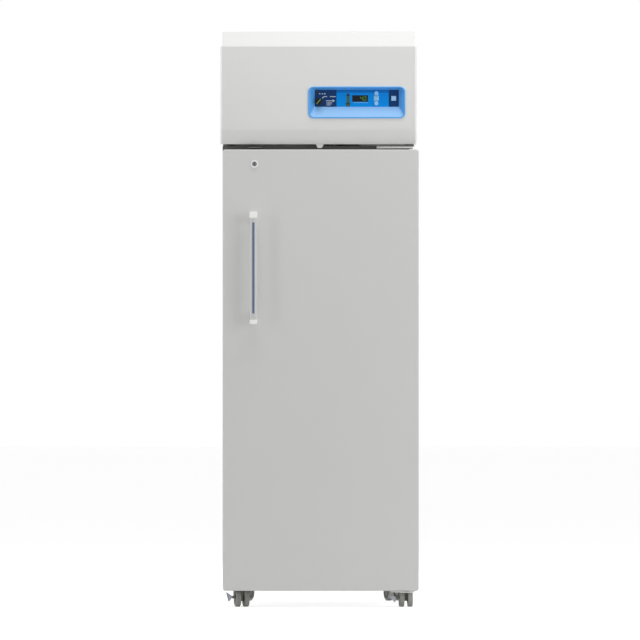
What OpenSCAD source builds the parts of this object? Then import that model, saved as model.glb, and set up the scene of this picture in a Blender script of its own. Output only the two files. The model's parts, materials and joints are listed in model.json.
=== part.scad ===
// Upright laboratory refrigerator with a solid door and a machine compartment on top.
// Millimetres. X is to the right, Y to the rear and Z up. The floor is at z = 0.

/* [Cabinet] */
// Outer width of the cabinet
case_w = 598; // [560:5:760]
// Outer depth of the cabinet, without door and wall spacers
case_d = 620; // [560:5:760]
// Height of the cabinet's underside above the floor
case_bottom = 58; // [58:1:70]
// Thickness of the steel sheet
sheet = 1.2; // [0.8:0.1:2]
// Thickness of a side wall with its insulation
side_wall = 49; // [45:1:75]
// Thickness of the floor with its insulation
floor_wall = 60; // [45:1:80]
// Thickness of the roof with its insulation
roof_wall = 54; // [45:1:80]
// Thickness of the rear wall with its insulation
back_wall = 60; // [45:1:80]
// Thickness of the inner liner
liner_t = 2; // [1.5:0.1:3]
// Width of the steel flange around the front opening
flange_w = 20; // [14:1:26]
// Thickness of the plastic frame between flange and liner
breaker_t = 5; // [3:0.5:8]
// How far the wall spacers stand off the back
spacer_d = 12; // [8:1:30]
// Diameter of a wall spacer
spacer_dia = 40; // [20:1:60]

/* [Door] */
// How much wider the door is than the cabinet
door_extra = 12; // [0:0.5:16]
// How far the door sits to the right of the cabinet
door_shift = 7; // [0:0.5:10]
// How far the door reaches below the cabinet's underside
door_sink = 5; // [0:0.5:6]
// Gap between the door's upper edge and the cabinet's top
door_top_drop = 13; // [12:0.5:20]
// Thickness of the door
door_t = 60; // [45:1:80]
// Corner radius of the door's face
door_corner_r = 8; // [2:0.5:16]
// Space between the door's back and the cabinet
gasket_gap = 8; // [7:0.5:14]
// Distance from the door's edge to the gasket
gasket_inset = 18; // [16:0.5:24]
// Width of the gasket
gasket_w = 16; // [10:0.5:20]
// Clearance between pieces that rest against each other lightly
seat_gap = 0.3; // [0.1:0.05:0.5]

/* [Hinges] */
// Distance from the door's right edge to the hinge axis
hinge_inset = 19; // [17:0.5:22]
// Distance from the door's face to the hinge axis
hinge_setback = 20; // [16:0.5:26]
// Diameter of a hinge pin
pin_d = 10; // [6:0.5:11]
// Radial running clearance of pins, plugs and axles
run_gap = 0.05; // [0.02:0.01:0.1]
// Outer diameter of a hinge bush
bush_d = 16; // [14:0.5:18]
// Height of a hinge bush
bush_h = 25; // [16:1:40]
// Thickness of a hinge plate
hinge_t = 4; // [3:0.5:4]
// Gap between the door's lower edge and the hinge plate under it
hinge_room = 2; // [1.5:0.1:3]
// Width of the upper hinge plate
upper_hinge_w = 118; // [70:1:140]
// Width of the lower hinge plate
lower_hinge_w = 74; // [50:1:110]
// Thickness of the flange that screws a bracket to the cabinet
bracket_t = 2.5; // [1.5:0.5:2.5]
// Height of that flange at the top brackets
bracket_h = 10; // [8:0.5:11]
// Diameter of a bracket screw's head
screw_d = 7; // [5:0.5:8]

/* [Handle] */
// Distance from the door's left edge to the handle's middle
handle_inset = 96; // [60:1:160]
// Distance from the door's upper edge to the handle's upper end
handle_drop = 194; // [150:1:400]
// Length of the handle
handle_h = 349; // [200:1:500]
// Width of the handle
handle_w = 24; // [18:1:36]
// How far the handle stands off the door
handle_proj = 52; // [46:1:75]
// Thickness of the grip bar
grip_t = 16; // [12:1:24]
// Height of a handle mount at the door
handle_mount_h = 34; // [24:1:60]
// Width of the coloured insert in the grip
insert_w = 7; // [4:0.5:12]
// Distance from a grip's end to its insert
insert_margin = 33; // [20:1:60]
// Depth of the groove that holds the insert
insert_depth = 3; // [2:0.5:6]

/* [Door lock] */
// Distance from the door's left edge to the lock
lock_inset = 99; // [60:1:160]
// Distance from the door's upper edge to the lock
lock_drop = 45; // [36:1:80]
// Diameter of the lock's ring
lock_ring_d = 25; // [22:0.5:32]
// Diameter of the lock's turning plug
lock_plug_d = 15; // [12:0.5:16]
// Width of the bolt
bolt_w = 10; // [8:0.5:14]
// Thickness of the bolt
bolt_t = 8; // [6:0.5:10]
// Travel of the bolt
bolt_travel = 12; // [8:0.5:12]

/* [Header] */
// Height of the whole refrigerator
overall_h = 1792; // [1600:2:2050]
// Height of the machine compartment above the cabinet
header_h = 354; // [330:2:440]
// Gap between the cabinet's top and the fascia's lower edge
header_lift = 4; // [2:0.5:8]
// Height of the fascia's sloping lower band
lower_band = 44; // [20:1:70]
// How far the lower band slopes back
lower_run = 30; // [15:1:40]
// Height of the fascia's sloping upper band
upper_band = 47; // [20:1:70]
// How far the upper band slopes back
upper_run = 34; // [15:1:40]
// Wall thickness of the fascia
fascia_t = 3; // [2:0.5:4]
// Depth of the lip along the fascia's lower edge
fascia_lip = 18; // [10:1:24]
// Thickness of a fascia end cap
end_cap_t = 6; // [5:0.5:10]
// Radius of the fascia's upper corners
fascia_corner_r = 9; // [3:0.5:16]
// Distance from the fascia's rear edges to its pivot
pivot_inset = 9; // [8:0.5:11]
// Diameter of a fascia pivot pin
pivot_d = 5; // [3:0.5:6]
// Width of the pull tab below the fascia
tab_w = 26; // [18:1:60]
// Height of the pull tab
tab_h = 12; // [6:0.5:12]
// Depth of the top cover's side lips
cover_lip = 18; // [10:1:40]
// Number of slots in each column of the rear grille
grille_rows = 12; // [4:1:14]

/* [Control panel] */
// Distance from the cabinet's right side to the blue bezel
bezel_margin = 29; // [20:1:120]
// Lower edge of the blue bezel above the fascia's lower edge
bezel_z = 80; // [60:1:120]
// Width of the blue bezel
bezel_w = 302; // [290:1:312]
// Height of the blue bezel
bezel_h = 99; // [96:1:130]
// Corner radius of the blue bezel
bezel_r = 17; // [8:1:24]
// How far the bezel's rim stands proud
bezel_proud = 4; // [2:0.5:8]
// Depth of the bezel's recess behind the fascia's face
bezel_depth = 20; // [12:1:28]
// Width of the bezel's rim
bezel_rim = 4; // [2:0.5:6]
// Wall thickness of the bezel
bezel_wall = 2.5; // [2:0.25:3]
// Width of the recessed control plate
plate_w = 262; // [255:1:268]
// Height of the recessed control plate
plate_h = 53; // [50:1:60]
// Distance from the bezel's upper edge to the control plate
plate_drop = 10; // [8:0.5:14]
// Thickness of the control plate
plate_t = 2; // [1.5:0.5:3]
// Distance from the control plate's left edge to the display window
window_inset = 117; // [80:1:125]
// Width of the display window
window_w = 49; // [30:1:52]
// Height of the display window
window_h = 20; // [14:1:26]
// Distance from the control plate's left edge to the key switch
switch_inset = 12.5; // [12.5:0.5:40]
// Diameter of the key switch
switch_d = 21; // [18:0.5:24]
// Diameter of the key switch's turning core
core_d = 12; // [9:0.5:14]
// Distance from the control plate's left edge to the round keys
keys_inset = 192; // [182:1:215]
// Diameter of a round key button
button_d = 12; // [8:0.5:13]
// Distance between round key buttons
button_pitch = 16; // [14:0.5:18]
// Distance from the control plate's left edge to the light button
light_button_inset = 246; // [236:1:248]
// Side of the square light button
light_button_w = 15; // [10:0.5:20]
// Travel of a button
button_travel = 1.2; // [0.5:0.1:1.5]
// Clearance around a button
button_gap = 0.3; // [0.15:0.05:0.5]

/* [Casters] */
// Diameter of a caster wheel
wheel_d = 50; // [40:1:50]
// Width of one caster wheel
wheel_w = 17; // [12:1:20]
// Diameter of a caster's axle
axle_d = 8; // [5:0.5:10]
// Thickness of a caster's middle web
web_t = 7; // [5:0.5:9]
// Distance from the swivel axis to the axle
caster_trail = 20; // [10:1:24]
// Diameter of a caster's stem
stem_d = 10; // [8:0.5:12]
// Length of a caster's stem above the mounting plate's underside
stem_h = 25; // [18:1:34]
// Side of a caster's mounting plate
mount_w = 50; // [40:1:60]
// Distance from the front of the cabinet to a front swivel axis
caster_front = 62; // [60:1:90]
// Distance from the cabinet's side to a swivel axis, left and right
caster_side = [55, 28]; // [28:1:90]
// Distance from the back of the cabinet to a rear swivel axis
caster_rear = 70; // [60:1:120]
// Length of a brake pedal
pedal_l = 24; // [16:1:30]
// How far a brake pedal's side plates reach below its axle
pedal_drop = 18; // [12:1:20]
// Width of a brake pedal
pedal_w = 14; // [10:1:18]

/* [Interior] */
// Number of wire shelves
shelf_count = 5; // [2:1:6]
// Height of the lowest shelf above the liner's floor
shelf_first = 60; // [40:5:120]
// Free height between the top shelf and the evaporator's cover
top_room = 276; // [240:2:330]
// Clearance between a shelf's end and the shelf standard
shelf_gap = 4; // [2:0.5:8]
// Depth of a shelf
shelf_d = 470; // [380:5:480]
// Thickness of a shelf's frame bar
shelf_bar = 6; // [5:0.5:8]
// Thickness of a shelf's wire
shelf_wire = 3; // [2:0.5:5]
// Number of wires in a shelf
shelf_wires = 24; // [10:1:34]
// Width of a shelf standard
standard_w = 16; // [12:1:24]
// Thickness of a shelf standard
standard_t = 6; // [4:0.5:8]
// Height of the evaporator's cover
evap_h = 110; // [90:1:130]
// Width of the evaporator's cover
evap_w = 430; // [360:5:440]
// Depth of the evaporator's cover
evap_d = 290; // [240:5:320]
// Diameter of the evaporator's fan
evap_fan_d = 84; // [60:1:86]
// Depth of the evaporator coil
coil_d = 120; // [90:1:140]
// Distance from the cover's front to the evaporator coil
coil_front = 110; // [95:1:120]
// Clearance beside the evaporator coil
coil_margin = 30; // [20:1:60]
// Number of evaporator fins
coil_fins = 18; // [8:1:24]
// Diameter of the evaporator fan's hub
evap_hub_d = 26; // [20:1:30]
// Depth of the evaporator's fan
evap_fan_depth = 22; // [14:1:24]
// Length of the interior light
light_l = 380; // [200:5:420]

/* [Machine compartment] */
// Distance from the cabinet's right side to the compressor's middle
comp_inset = 149; // [130:1:170]
// Distance from the back to the compressor's middle
comp_rear = 170; // [150:1:220]
// Diameter of the compressor's shell
comp_d = 156; // [120:1:180]
// Height of the compressor's shell
comp_h = 170; // [140:1:200]
// Distance from the cabinet's left side to the condenser's middle
cond_inset = 179; // [165:1:195]
// Distance from the compartment's front to the condenser
cond_front = 60; // [40:1:90]
// Width of the condenser
cond_w = 270; // [200:5:280]
// Height of the condenser
cond_h = 230; // [180:5:250]
// Depth of the condenser
cond_t = 44; // [30:1:60]
// Number of condenser fins
cond_fins = 24; // [10:1:30]
// Number of condenser tubes
cond_tubes = 5; // [3:1:6]
// Diameter of the condenser's fan
cond_fan_d = 190; // [140:1:200]
// Diameter of the condenser fan's hub
cond_hub_d = 50; // [40:1:60]
// Depth of the condenser's fan
cond_fan_depth = 36; // [24:1:44]
// Diameter of the condenser fan's motor
cond_motor_d = 84; // [60:1:90]
// Length of the condenser fan's motor
cond_motor_l = 60; // [40:1:80]
// Distance from the fan's shroud to its motor
cond_motor_gap = 70; // [62:1:90]
// Diameter of a refrigerant line
line_d = 8; // [6:0.5:10]
// Diameter of the filter drier
drier_d = 24; // [16:1:30]
// Length of the filter drier
drier_l = 90; // [60:1:110]
// Distance from the condenser to the filter drier
drier_gap = 90; // [60:1:110]
// Width of the electrical box
box_w = 140; // [100:1:150]
// Depth of the electrical box
box_d = 100; // [70:1:110]
// Height of the electrical box
box_h = 120; // [80:1:160]
// Distance from the cabinet's right side to the electrical box
box_inset = 29; // [20:1:40]
// Distance from the compartment's front to the electrical box
box_front = 40; // [30:1:70]
// Distance from the cabinet's right side to the power inlet's middle
inlet_inset = 104; // [75:1:155]
// Height of the power inlet's middle above the deck
inlet_lift = 36; // [32:1:60]

/* [Hidden] */
$fn = 64;

// Small amount by which a cutting shape runs past the surface it cuts
eps = 1;

// Planes along Y, from the handle's front to the wall spacers' rear
total_d = handle_proj + door_t + gasket_gap + case_d + spacer_d;
door_y = handle_proj - total_d / 2;
case_y = door_y + door_t + gasket_gap;
back_y = case_y + case_d;

// Middles along X
cab_x = -door_shift / 2;
door_x = door_shift / 2;

// Openings and heights
half_case = case_w / 2;
half_face = half_case + end_cap_t;
case_top = overall_h - header_h;
door_w = case_w + door_extra;
inner_w = case_w - 2 * side_wall;
inner_floor = case_bottom + floor_wall;
inner_roof = case_top - roof_wall;
inner_h = inner_roof - inner_floor;
inner_back = back_y - back_wall;
door_top = case_top - door_top_drop;
door_bottom = case_bottom - door_sink;
door_h = door_top - door_bottom;
door_left = door_x - door_w / 2;
door_back = door_y + door_t;
gasket_t = gasket_gap - seat_gap;

// Hinges
hinge_x = door_x + door_w / 2 - hinge_inset;
hinge_y = door_y + hinge_setback;
hinge_nose = 6;
screw_start = 20;
screw_step = 34;
upper_plate_z = door_top + hinge_t;
lower_plate_z = door_bottom - hinge_room - hinge_t;
flange_gap = 1;
lower_flange_top = door_bottom + gasket_inset - flange_gap;
lower_screw_z = (case_bottom + lower_flange_top) / 2;
pin_l = bush_h - 3;
bush_flange_d = bush_d + 6;
bush_flange_t = hinge_room - seat_gap;
press_gap = 0.1;

// Raised rib on the door's inner face
rib_gap = 37;
rib_w = 14;
rib_t = 5;

// Handle
handle_x = door_left + handle_inset;
handle_low = door_top - handle_drop - handle_h;
grip_y = door_y - handle_proj;

// Lock
lock_x = door_left + lock_inset;
lock_z = door_top - lock_drop;
lock_ring_t = 3;
lock_barrel_d = lock_plug_d + 4;
lock_box_y = door_y + 24;
lock_box_d = bolt_t + 6;
lock_box_w = bolt_w + 20;
lock_box_low = lock_z - 20;
lock_box_top = door_top - sheet;
bolt_y = lock_box_y + lock_box_d / 2;
bolt_low = lock_box_low + 6;
bolt_top = door_top - 0.5;
keeper_w = 40;
keeper_t = 3;
keeper_bite = 3.5;
keeper_z = bolt_top + bolt_travel - keeper_t - keeper_bite;
keeper_front = bolt_y - bolt_t / 2 - 6;
keeper_slot_gap = 2;

// Header
tab_x = cab_x + 4;
header_bottom = case_top + header_lift;
face_low = header_bottom + lower_band;
face_high = overall_h - upper_band;
fascia_back = case_y - 3;
header_front = case_y + 3;
pivot_y = fascia_back - pivot_inset;
pivot_z = overall_h - pivot_inset;
lug_t = 3;
lug_r = pivot_inset - fascia_t - 0.5;
lug_x = half_case - 2 - lug_t;
lug_drop = 22;
lug_top = 12;
header_wall_x = half_case - sheet;
header_top = overall_h - sheet;
deck_z = case_top;

// Control panel: a sloping recess from the rim back to the control plate
bezel_left = cab_x + half_case - bezel_margin - bezel_w;
bezel_low = header_bottom + bezel_z;
plate_left = bezel_left + (bezel_w - plate_w) / 2;
plate_low = bezel_low + bezel_h - plate_h - plate_drop;
plate_top = plate_low + plate_h;
recess_y = door_y + bezel_depth;
plate_back = recess_y + plate_t;
control_rise = 16;
switch_x = plate_left + switch_inset;
switch_z = plate_low + control_rise;
switch_proud = 6;
key_rest = 40;
window_x = plate_left + window_inset;
window_low = plate_low + control_rise;
window_border = 4;
button_x = plate_left + keys_inset;
button_z = plate_low + plate_h / 2;
button_proud = button_travel + 1.8;
button_stem = 2;
button_flange_t = 1;
light_button_x = plate_left + light_button_inset;
board_y = plate_back + button_stem + button_travel + 0.8;
board_t = 1.6;
board_margin = 3;
board_left = switch_inset + switch_d + 26.5;
skim = 0.01;

// Casters: front left, front right, rear left, rear right
plate_t_caster = 3;
caster_top = case_bottom - plate_t_caster;
hood_t = 3;
hood_z = caster_top - seat_gap - 1 - hood_t;
wheel_gap = 0.5;
wheel_in = web_t / 2 + wheel_gap;
wheel_out = wheel_in + wheel_w;
arm_t = 3;
arm_in = wheel_out + 1;
arm_out = arm_in + arm_t;
pedal_barrel_r = 3.5;
pedal_pin_r = 2;
pedal_x = -arm_out - pedal_barrel_r - 0.5;
pedal_z = 30;
pedal_ear_t = 2;
pedal_t = 3;
pedal_side_t = 2;
pedal_heel = 2;
pedal_rise = [36, 8];
caster_x = [
    cab_x - half_case + caster_side[0], cab_x + half_case - caster_side[1],
    cab_x - half_case + caster_side[0], cab_x + half_case - caster_side[0]
];
caster_y = [case_y + caster_front, case_y + caster_front, back_y - caster_rear, back_y - caster_rear];
caster_yaw = [12, 4, 150, 205];

// Interior
shelf_w = inner_w - 2 * standard_t - 2 * shelf_gap;
shelf_pitch = (inner_h - evap_h - shelf_first - top_room) / (shelf_count - 1);
shelf_y = inner_back - shelf_d - 25;
standard_y = [shelf_y + 40, shelf_y + shelf_d - 60];
standard_h = shelf_first + shelf_pitch * (shelf_count - 1) + 60;
slot_pitch = 50;
slot_first = 35;
slot_h = 10;
slot_w = 3;
clip_w = 12;
clip_h = 5;
evap_low = inner_roof - evap_h;
evap_front = inner_back - evap_d;
evap_fan_x = cab_x - evap_w / 4;
evap_fan_z = evap_low + evap_h / 2;
fan_shaft_d = 6;
fin_t = 1.5;
evap_motor_d = 44;
evap_motor_y = evap_front + 40;
evap_motor_l = 40;
light_front = case_y + 40;
light_d = 40;
light_slope = 6;
light_z = inner_roof - 14;
bottle_front = 40;
bottle_lift = 60;
bottle_d = 40;
bottle_h = 70;
bottle_neck_d = 24;
bottle_neck_h = 16;
probe_d = 5;

// Machine compartment
comp_x = cab_x + half_case - comp_inset;
comp_y = back_y - comp_rear;
comp_foot_h = 20;
comp_foot_d = 18;
comp_base_t = 4;
comp_z = deck_z + comp_foot_h + comp_base_t;
comp_flat = 40;
cond_x = cab_x - half_case + cond_inset;
cond_y = header_front + cond_front;
cond_z = deck_z + 20;
cond_side_t = 2;
tube_pitch = cond_h / cond_tubes;
tube_end = 6;
tube_y = cond_y + cond_t / 2;
line_x = cond_x + cond_w / 2 + 14;
shroud_t = 3;
shroud_y = cond_y + cond_t;
shroud_gap = 4;
cond_fan_z = cond_z + cond_h / 2;
cond_fan_y = shroud_y + 20;
cond_motor_y = shroud_y + cond_motor_gap;
box_right = cab_x + half_case - box_inset;
inlet_x = cab_x + half_case - inlet_inset;
inlet_z = deck_z + inlet_lift;
inlet_w = 30;
inlet_h = 24;
inlet_d = 26;
inlet_border = 8;
inlet_lip = 3;
grille_lift = 80;
inlet_wall = 3;

// Shapes shared by several pieces
module block(low, high) {
    translate(low)
        cube(high - low);
}

// Rounded rectangle drawn as squares and circles
module soft_rect(w, h, r) {
    translate([r, 0])
        square([w - 2 * r, h]);
    translate([0, r])
        square([w, h - 2 * r]);
    for (x = [r, w - r], y = [r, h - r])
        translate([x, y])
            circle(r = r);
}

// Extrudes an outline drawn in X and Z from y_front to y_back
module along_y(y_front, y_back) {
    translate([0, y_back, 0])
        rotate([90, 0, 0])
            linear_extrude(y_back - y_front)
                children();
}

// Extrudes an outline drawn in Y and Z from x_left to x_right
module along_x(x_left, x_right) {
    translate([x_left, 0, 0])
        rotate([90, 0, 90])
            linear_extrude(x_right - x_left)
                children();
}

// Round bar between two heights, two depths or two widths
module bar_z(x, y, z_low, z_high, d) {
    translate([x, y, z_low])
        cylinder(h = z_high - z_low, d = d);
}

module bar_y(x, y_front, y_back, z, d) {
    translate([x, y_front, z])
        rotate([-90, 0, 0])
            cylinder(h = y_back - y_front, d = d);
}

module bar_x(x_left, x_right, y, z, d) {
    translate([x_left, y, z])
        rotate([0, 90, 0])
            cylinder(h = x_right - x_left, d = d);
}

// Flat frame in X and Z around a rectangular opening
module ring_plate(x_mid, w, z_low, z_high, border, y_front, y_back) {
    difference() {
        block([x_mid - w / 2, y_front, z_low], [x_mid + w / 2, y_back, z_high]);
        block([x_mid - w / 2 + border, y_front - eps, z_low + border],
              [x_mid + w / 2 - border, y_back + eps, z_high - border]);
    }
}

// Fan with flat pitched blades, its axis along Y
module fan_rotor(x, y, z, d, hub_d, depth, blades) {
    difference() {
        union() {
            bar_y(x, y, y + depth, z, hub_d);
            intersection() {
                bar_y(x, y, y + depth, z, d);
                translate([x, y + depth / 2, z])
                    for (i = [0 : blades - 1])
                        rotate([0, i * 360 / blades, 0])
                            rotate([0, 0, 32])
                                translate([-d * 0.17, -1, hub_d * 0.3])
                                    cube([d * 0.34, 2, d / 2]);
            }
        }
        bar_y(x, y - eps, y + depth + eps, z, fan_shaft_d + 2 * run_gap);
    }
}

module slot_column(x_left, x_right, y, z_first, pitch, count, h) {
    for (i = [0 : count - 1])
        block([x_left, y - eps, z_first + i * pitch], [x_right, y + sheet + eps, z_first + i * pitch + h]);
}

// Screw head on the front of a bracket flange
module screw_head(x, z) {
    bar_y(x, case_y - bracket_t - 1.2, case_y - bracket_t, z, screw_d);
}

// Cabinet
module outer_case() {
    color("gainsboro")
        difference() {
            block([cab_x - half_case, case_y, case_bottom], [cab_x + half_case, back_y - sheet, case_top]);
            block([cab_x - half_case + sheet, case_y + sheet, case_bottom - eps],
                  [cab_x + half_case - sheet, back_y + eps, case_top - sheet]);
            block([cab_x - half_case + flange_w, case_y - eps, case_bottom + flange_w],
                  [cab_x + half_case - flange_w, case_y + 2 * sheet, case_top - flange_w]);
        }
}

module back_panel() {
    spacer_inset = spacer_dia / 2 + 20;
    color("gainsboro") {
        block([cab_x - half_case, back_y - sheet, case_bottom], [cab_x + half_case, back_y, case_top]);
        for (x = [cab_x - half_case + spacer_inset, cab_x + half_case - spacer_inset])
            for (z = [case_bottom + spacer_inset, case_top - spacer_inset])
                bar_y(x, back_y, back_y + spacer_d, z, spacer_dia);
    }
}

module base_pan() {
    color("silver")
        difference() {
            block([cab_x - half_case + sheet, case_y + sheet, case_bottom],
                  [cab_x + half_case - sheet, back_y - sheet, case_bottom + sheet]);
            for (i = [0 : 3])
                bar_z(caster_x[i], caster_y[i], case_bottom - eps, case_bottom + 2 * sheet, stem_d + 8);
        }
}

module insulation() {
    color("khaki")
        difference() {
            block([cab_x - half_case + sheet, case_y + sheet, case_bottom + sheet],
                  [cab_x + half_case - sheet, back_y - sheet, case_top - sheet]);
            block([cab_x - inner_w / 2 - liner_t, case_y - eps, inner_floor - liner_t],
                  [cab_x + inner_w / 2 + liner_t, inner_back + liner_t, inner_roof + liner_t]);
            block([cab_x - half_case + flange_w, case_y - eps, case_bottom + flange_w],
                  [cab_x + half_case - flange_w, case_y + breaker_t, case_top - flange_w]);
            for (i = [0 : 3])
                bar_z(caster_x[i], caster_y[i], case_bottom, caster_top + stem_h + 5, stem_d + 8);
        }
}

module liner() {
    color("white")
        difference() {
            block([cab_x - inner_w / 2 - liner_t, case_y + breaker_t, inner_floor - liner_t],
                  [cab_x + inner_w / 2 + liner_t, inner_back + liner_t, inner_roof + liner_t]);
            block([cab_x - inner_w / 2, case_y, inner_floor], [cab_x + inner_w / 2, inner_back, inner_roof]);
        }
}

module breaker_frame() {
    color("whitesmoke")
        difference() {
            block([cab_x - half_case + flange_w, case_y, case_bottom + flange_w],
                  [cab_x + half_case - flange_w, case_y + breaker_t, case_top - flange_w]);
            block([cab_x - inner_w / 2, case_y - eps, inner_floor],
                  [cab_x + inner_w / 2, case_y + breaker_t + eps, inner_roof]);
        }
}

module lock_keeper() {
    slot_half_w = bolt_w / 2 + keeper_slot_gap;
    slot_half_d = bolt_t / 2 + keeper_slot_gap;
    color("silver") {
        difference() {
            union() {
                block([lock_x - keeper_w / 2, keeper_front, keeper_z],
                      [lock_x + keeper_w / 2, case_y, keeper_z + keeper_t]);
                block([lock_x - keeper_w / 2, case_y - bracket_t, case_top - bracket_h],
                      [lock_x + keeper_w / 2, case_y, case_top]);
            }
            block([lock_x - slot_half_w, bolt_y - slot_half_d, keeper_z - eps],
                  [lock_x + slot_half_w, bolt_y + slot_half_d, keeper_z + keeper_t + eps]);
        }
    }
}

// Hinges: a plate that reaches forward to the pin, and a flange on the cabinet's face
module hinge_plate(w, z, pin_low, pin_high, flange_low, flange_high) {
    right = hinge_x + hinge_nose;
    union() {
        translate([0, 0, z])
            linear_extrude(hinge_t) {
                polygon([[right - w, case_y], [right, case_y], [right, hinge_y],
                         [hinge_x, hinge_y - hinge_nose],
                         [hinge_x - w / 3, hinge_y], [right - w, case_y - 20]]);
                translate([hinge_x, hinge_y])
                    circle(r = hinge_nose);
            }
        block([right - w, case_y - bracket_t, flange_low], [right, case_y, flange_high]);
        bar_z(hinge_x, hinge_y, pin_low, pin_high, pin_d);
    }
}

module upper_hinge() {
    color("silver") {
        hinge_plate(upper_hinge_w, upper_plate_z, door_top - pin_l, upper_plate_z + eps,
                    case_top - bracket_h, case_top);
        for (i = [0 : 2])
            screw_head(hinge_x - upper_hinge_w + screw_start + i * screw_step, case_top - bracket_h / 2);
    }
}

module lower_hinge() {
    color("silver") {
        hinge_plate(lower_hinge_w, lower_plate_z, lower_plate_z + eps, door_bottom + pin_l,
                    lower_plate_z, lower_flange_top);
        for (i = [0 : 1])
            screw_head(hinge_x - lower_hinge_w + screw_start + i * screw_step, lower_screw_z);
    }
}

module caster_plates() {
    color("dimgray")
        for (i = [0 : 3])
            difference() {
                union() {
                    block([caster_x[i] - mount_w / 2, caster_y[i] - mount_w / 2, caster_top],
                          [caster_x[i] + mount_w / 2, caster_y[i] + mount_w / 2, case_bottom]);
                    bar_z(caster_x[i], caster_y[i], caster_top, caster_top + stem_h + 4, stem_d + 6);
                }
                bar_z(caster_x[i], caster_y[i], caster_top - eps, caster_top + stem_h + eps,
                      stem_d + 2 * run_gap);
            }
}

// Machine compartment on top
module header_sides() {
    color("gainsboro")
        for (side = [-1, 1])
            translate([cab_x, 0, 0])
                scale_side(side) {
                    block([header_wall_x - sheet, header_front, deck_z],
                          [header_wall_x, back_y - sheet, header_top]);
                    block([header_wall_x - 20, header_front, deck_z],
                          [header_wall_x, back_y - sheet, deck_z + sheet]);
                    along_x(lug_x, lug_x + lug_t)
                        union() {
                            translate([pivot_y, pivot_z])
                                circle(r = lug_r);
                            polygon([[pivot_y - lug_r, pivot_z], [pivot_y - lug_r, pivot_z - lug_drop],
                                     [header_front + 20, pivot_z - lug_drop],
                                     [header_front + 20, pivot_z - lug_top],
                                     [pivot_y + lug_r, pivot_z - lug_top], [pivot_y + lug_r, pivot_z]]);
                        }
                    block([lug_x, header_front, pivot_z - lug_drop],
                          [header_wall_x, header_front + 20, pivot_z - lug_top]);
                    bar_x(lug_x, lug_x + lug_t + 6, pivot_y, pivot_z, pivot_d);
                }
}

// Draws its children on the right, or mirrored on the left
module scale_side(side) {
    if (side > 0)
        union() children();
    else
        mirror([1, 0, 0])
            union() children();
}

module top_cover() {
    color("gainsboro")
        difference() {
            block([cab_x - half_case, header_front, overall_h - cover_lip],
                  [cab_x + half_case, back_y, overall_h]);
            block([cab_x - half_case + sheet, header_front - eps, overall_h - cover_lip - eps],
                  [cab_x + half_case - sheet, back_y - sheet, header_top]);
        }
}

module rear_grille() {
    slot_margin = 50;
    mullion = 20;
    slot_first_z = deck_z + grille_lift;
    slot_l = half_case - slot_margin - mullion;
    row_pitch = (header_top - slot_first_z - 30) / grille_rows;
    slot_h = row_pitch * 0.3;
    color("gainsboro")
        difference() {
            block([cab_x - header_wall_x, back_y - sheet, deck_z],
                  [cab_x + header_wall_x, back_y, overall_h - cover_lip]);
            for (x = [cab_x - slot_l - mullion, cab_x + mullion])
                slot_column(x, x + slot_l, back_y - sheet, slot_first_z, row_pitch, grille_rows, slot_h);
            block([inlet_x - inlet_w / 2, back_y - 2 * sheet, inlet_z - inlet_h / 2],
                  [inlet_x + inlet_w / 2, back_y + eps, inlet_z + inlet_h / 2]);
        }
}

module power_inlet() {
    half_w = inlet_w / 2;
    half_h = inlet_h / 2;
    lip_half_h = half_h + inlet_border / 2;
    lip_y = back_y + inlet_lip;
    blade_pitch = 7;
    blade_w = 2;
    blade_h = 5;
    socket_back = back_y - inlet_d + 8;
    color("black")
        difference() {
            union() {
                block([inlet_x - half_w + seat_gap, back_y - inlet_d, inlet_z - half_h + seat_gap],
                      [inlet_x + half_w - seat_gap, back_y, inlet_z + half_h - seat_gap]);
                block([inlet_x - half_w - inlet_border, back_y, inlet_z - lip_half_h],
                      [inlet_x + half_w + inlet_border, lip_y, inlet_z + lip_half_h]);
            }
            difference() {
                block([inlet_x - half_w + inlet_wall, socket_back, inlet_z - half_h + inlet_wall],
                      [inlet_x + half_w - inlet_wall, lip_y + eps, inlet_z + half_h - inlet_wall]);
                for (k = [-1 : 1])
                    translate([inlet_x + k * blade_pitch, 0, inlet_z - 4 + 4 * (1 - abs(k))])
                        block([-blade_w / 2, socket_back - eps, 0], [blade_w / 2, back_y - 2, blade_h]);
            }
        }
}

module compressor() {
    r = comp_d / 2;
    seam = 3;
    shoulder = 14;
    base_half_d = 35;
    foot_reach = 6;
    foot_half_d = 24;
    color("black") {
        translate([comp_x, comp_y, comp_z])
            rotate_extrude()
                polygon([[0, 0], [r - shoulder, 0], [r - seam, 10], [r - seam, comp_h * 0.45],
                         [r, comp_h * 0.45], [r, comp_h * 0.5], [r - seam, comp_h * 0.5],
                         [r - seam, comp_h * 0.8],
                         [r - shoulder, comp_h * 0.93], [r - comp_flat, comp_h], [0, comp_h]]);
        block([comp_x - r - 20, comp_y - base_half_d, comp_z - comp_base_t],
              [comp_x + r + 20, comp_y + base_half_d, comp_z]);
        for (x = [comp_x - r - foot_reach, comp_x + r + foot_reach])
            for (y = [comp_y - foot_half_d, comp_y + foot_half_d])
                bar_z(x, y, deck_z, comp_z - comp_base_t, comp_foot_d);
    }
}

module condenser() {
    fin_margin = 4;
    fin_pitch = (cond_w - 2 * fin_margin - fin_t) / (cond_fins - 1);
    color("peru")
        union() {
            for (i = [0 : cond_fins - 1])
                translate([cond_x - cond_w / 2 + fin_margin + i * fin_pitch, cond_y, cond_z])
                    cube([fin_t, cond_t, cond_h]);
            for (k = [0 : cond_tubes - 1])
                bar_x(cond_x - cond_w / 2 - tube_end, cond_x + cond_w / 2 + tube_end, tube_y,
                      cond_z + (k + 0.5) * tube_pitch, line_d);
            for (x = [cond_x - cond_w / 2 - cond_side_t, cond_x + cond_w / 2])
                block([x, cond_y, deck_z], [x + cond_side_t, cond_y + cond_t, cond_z + cond_h]);
        }
}

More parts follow.
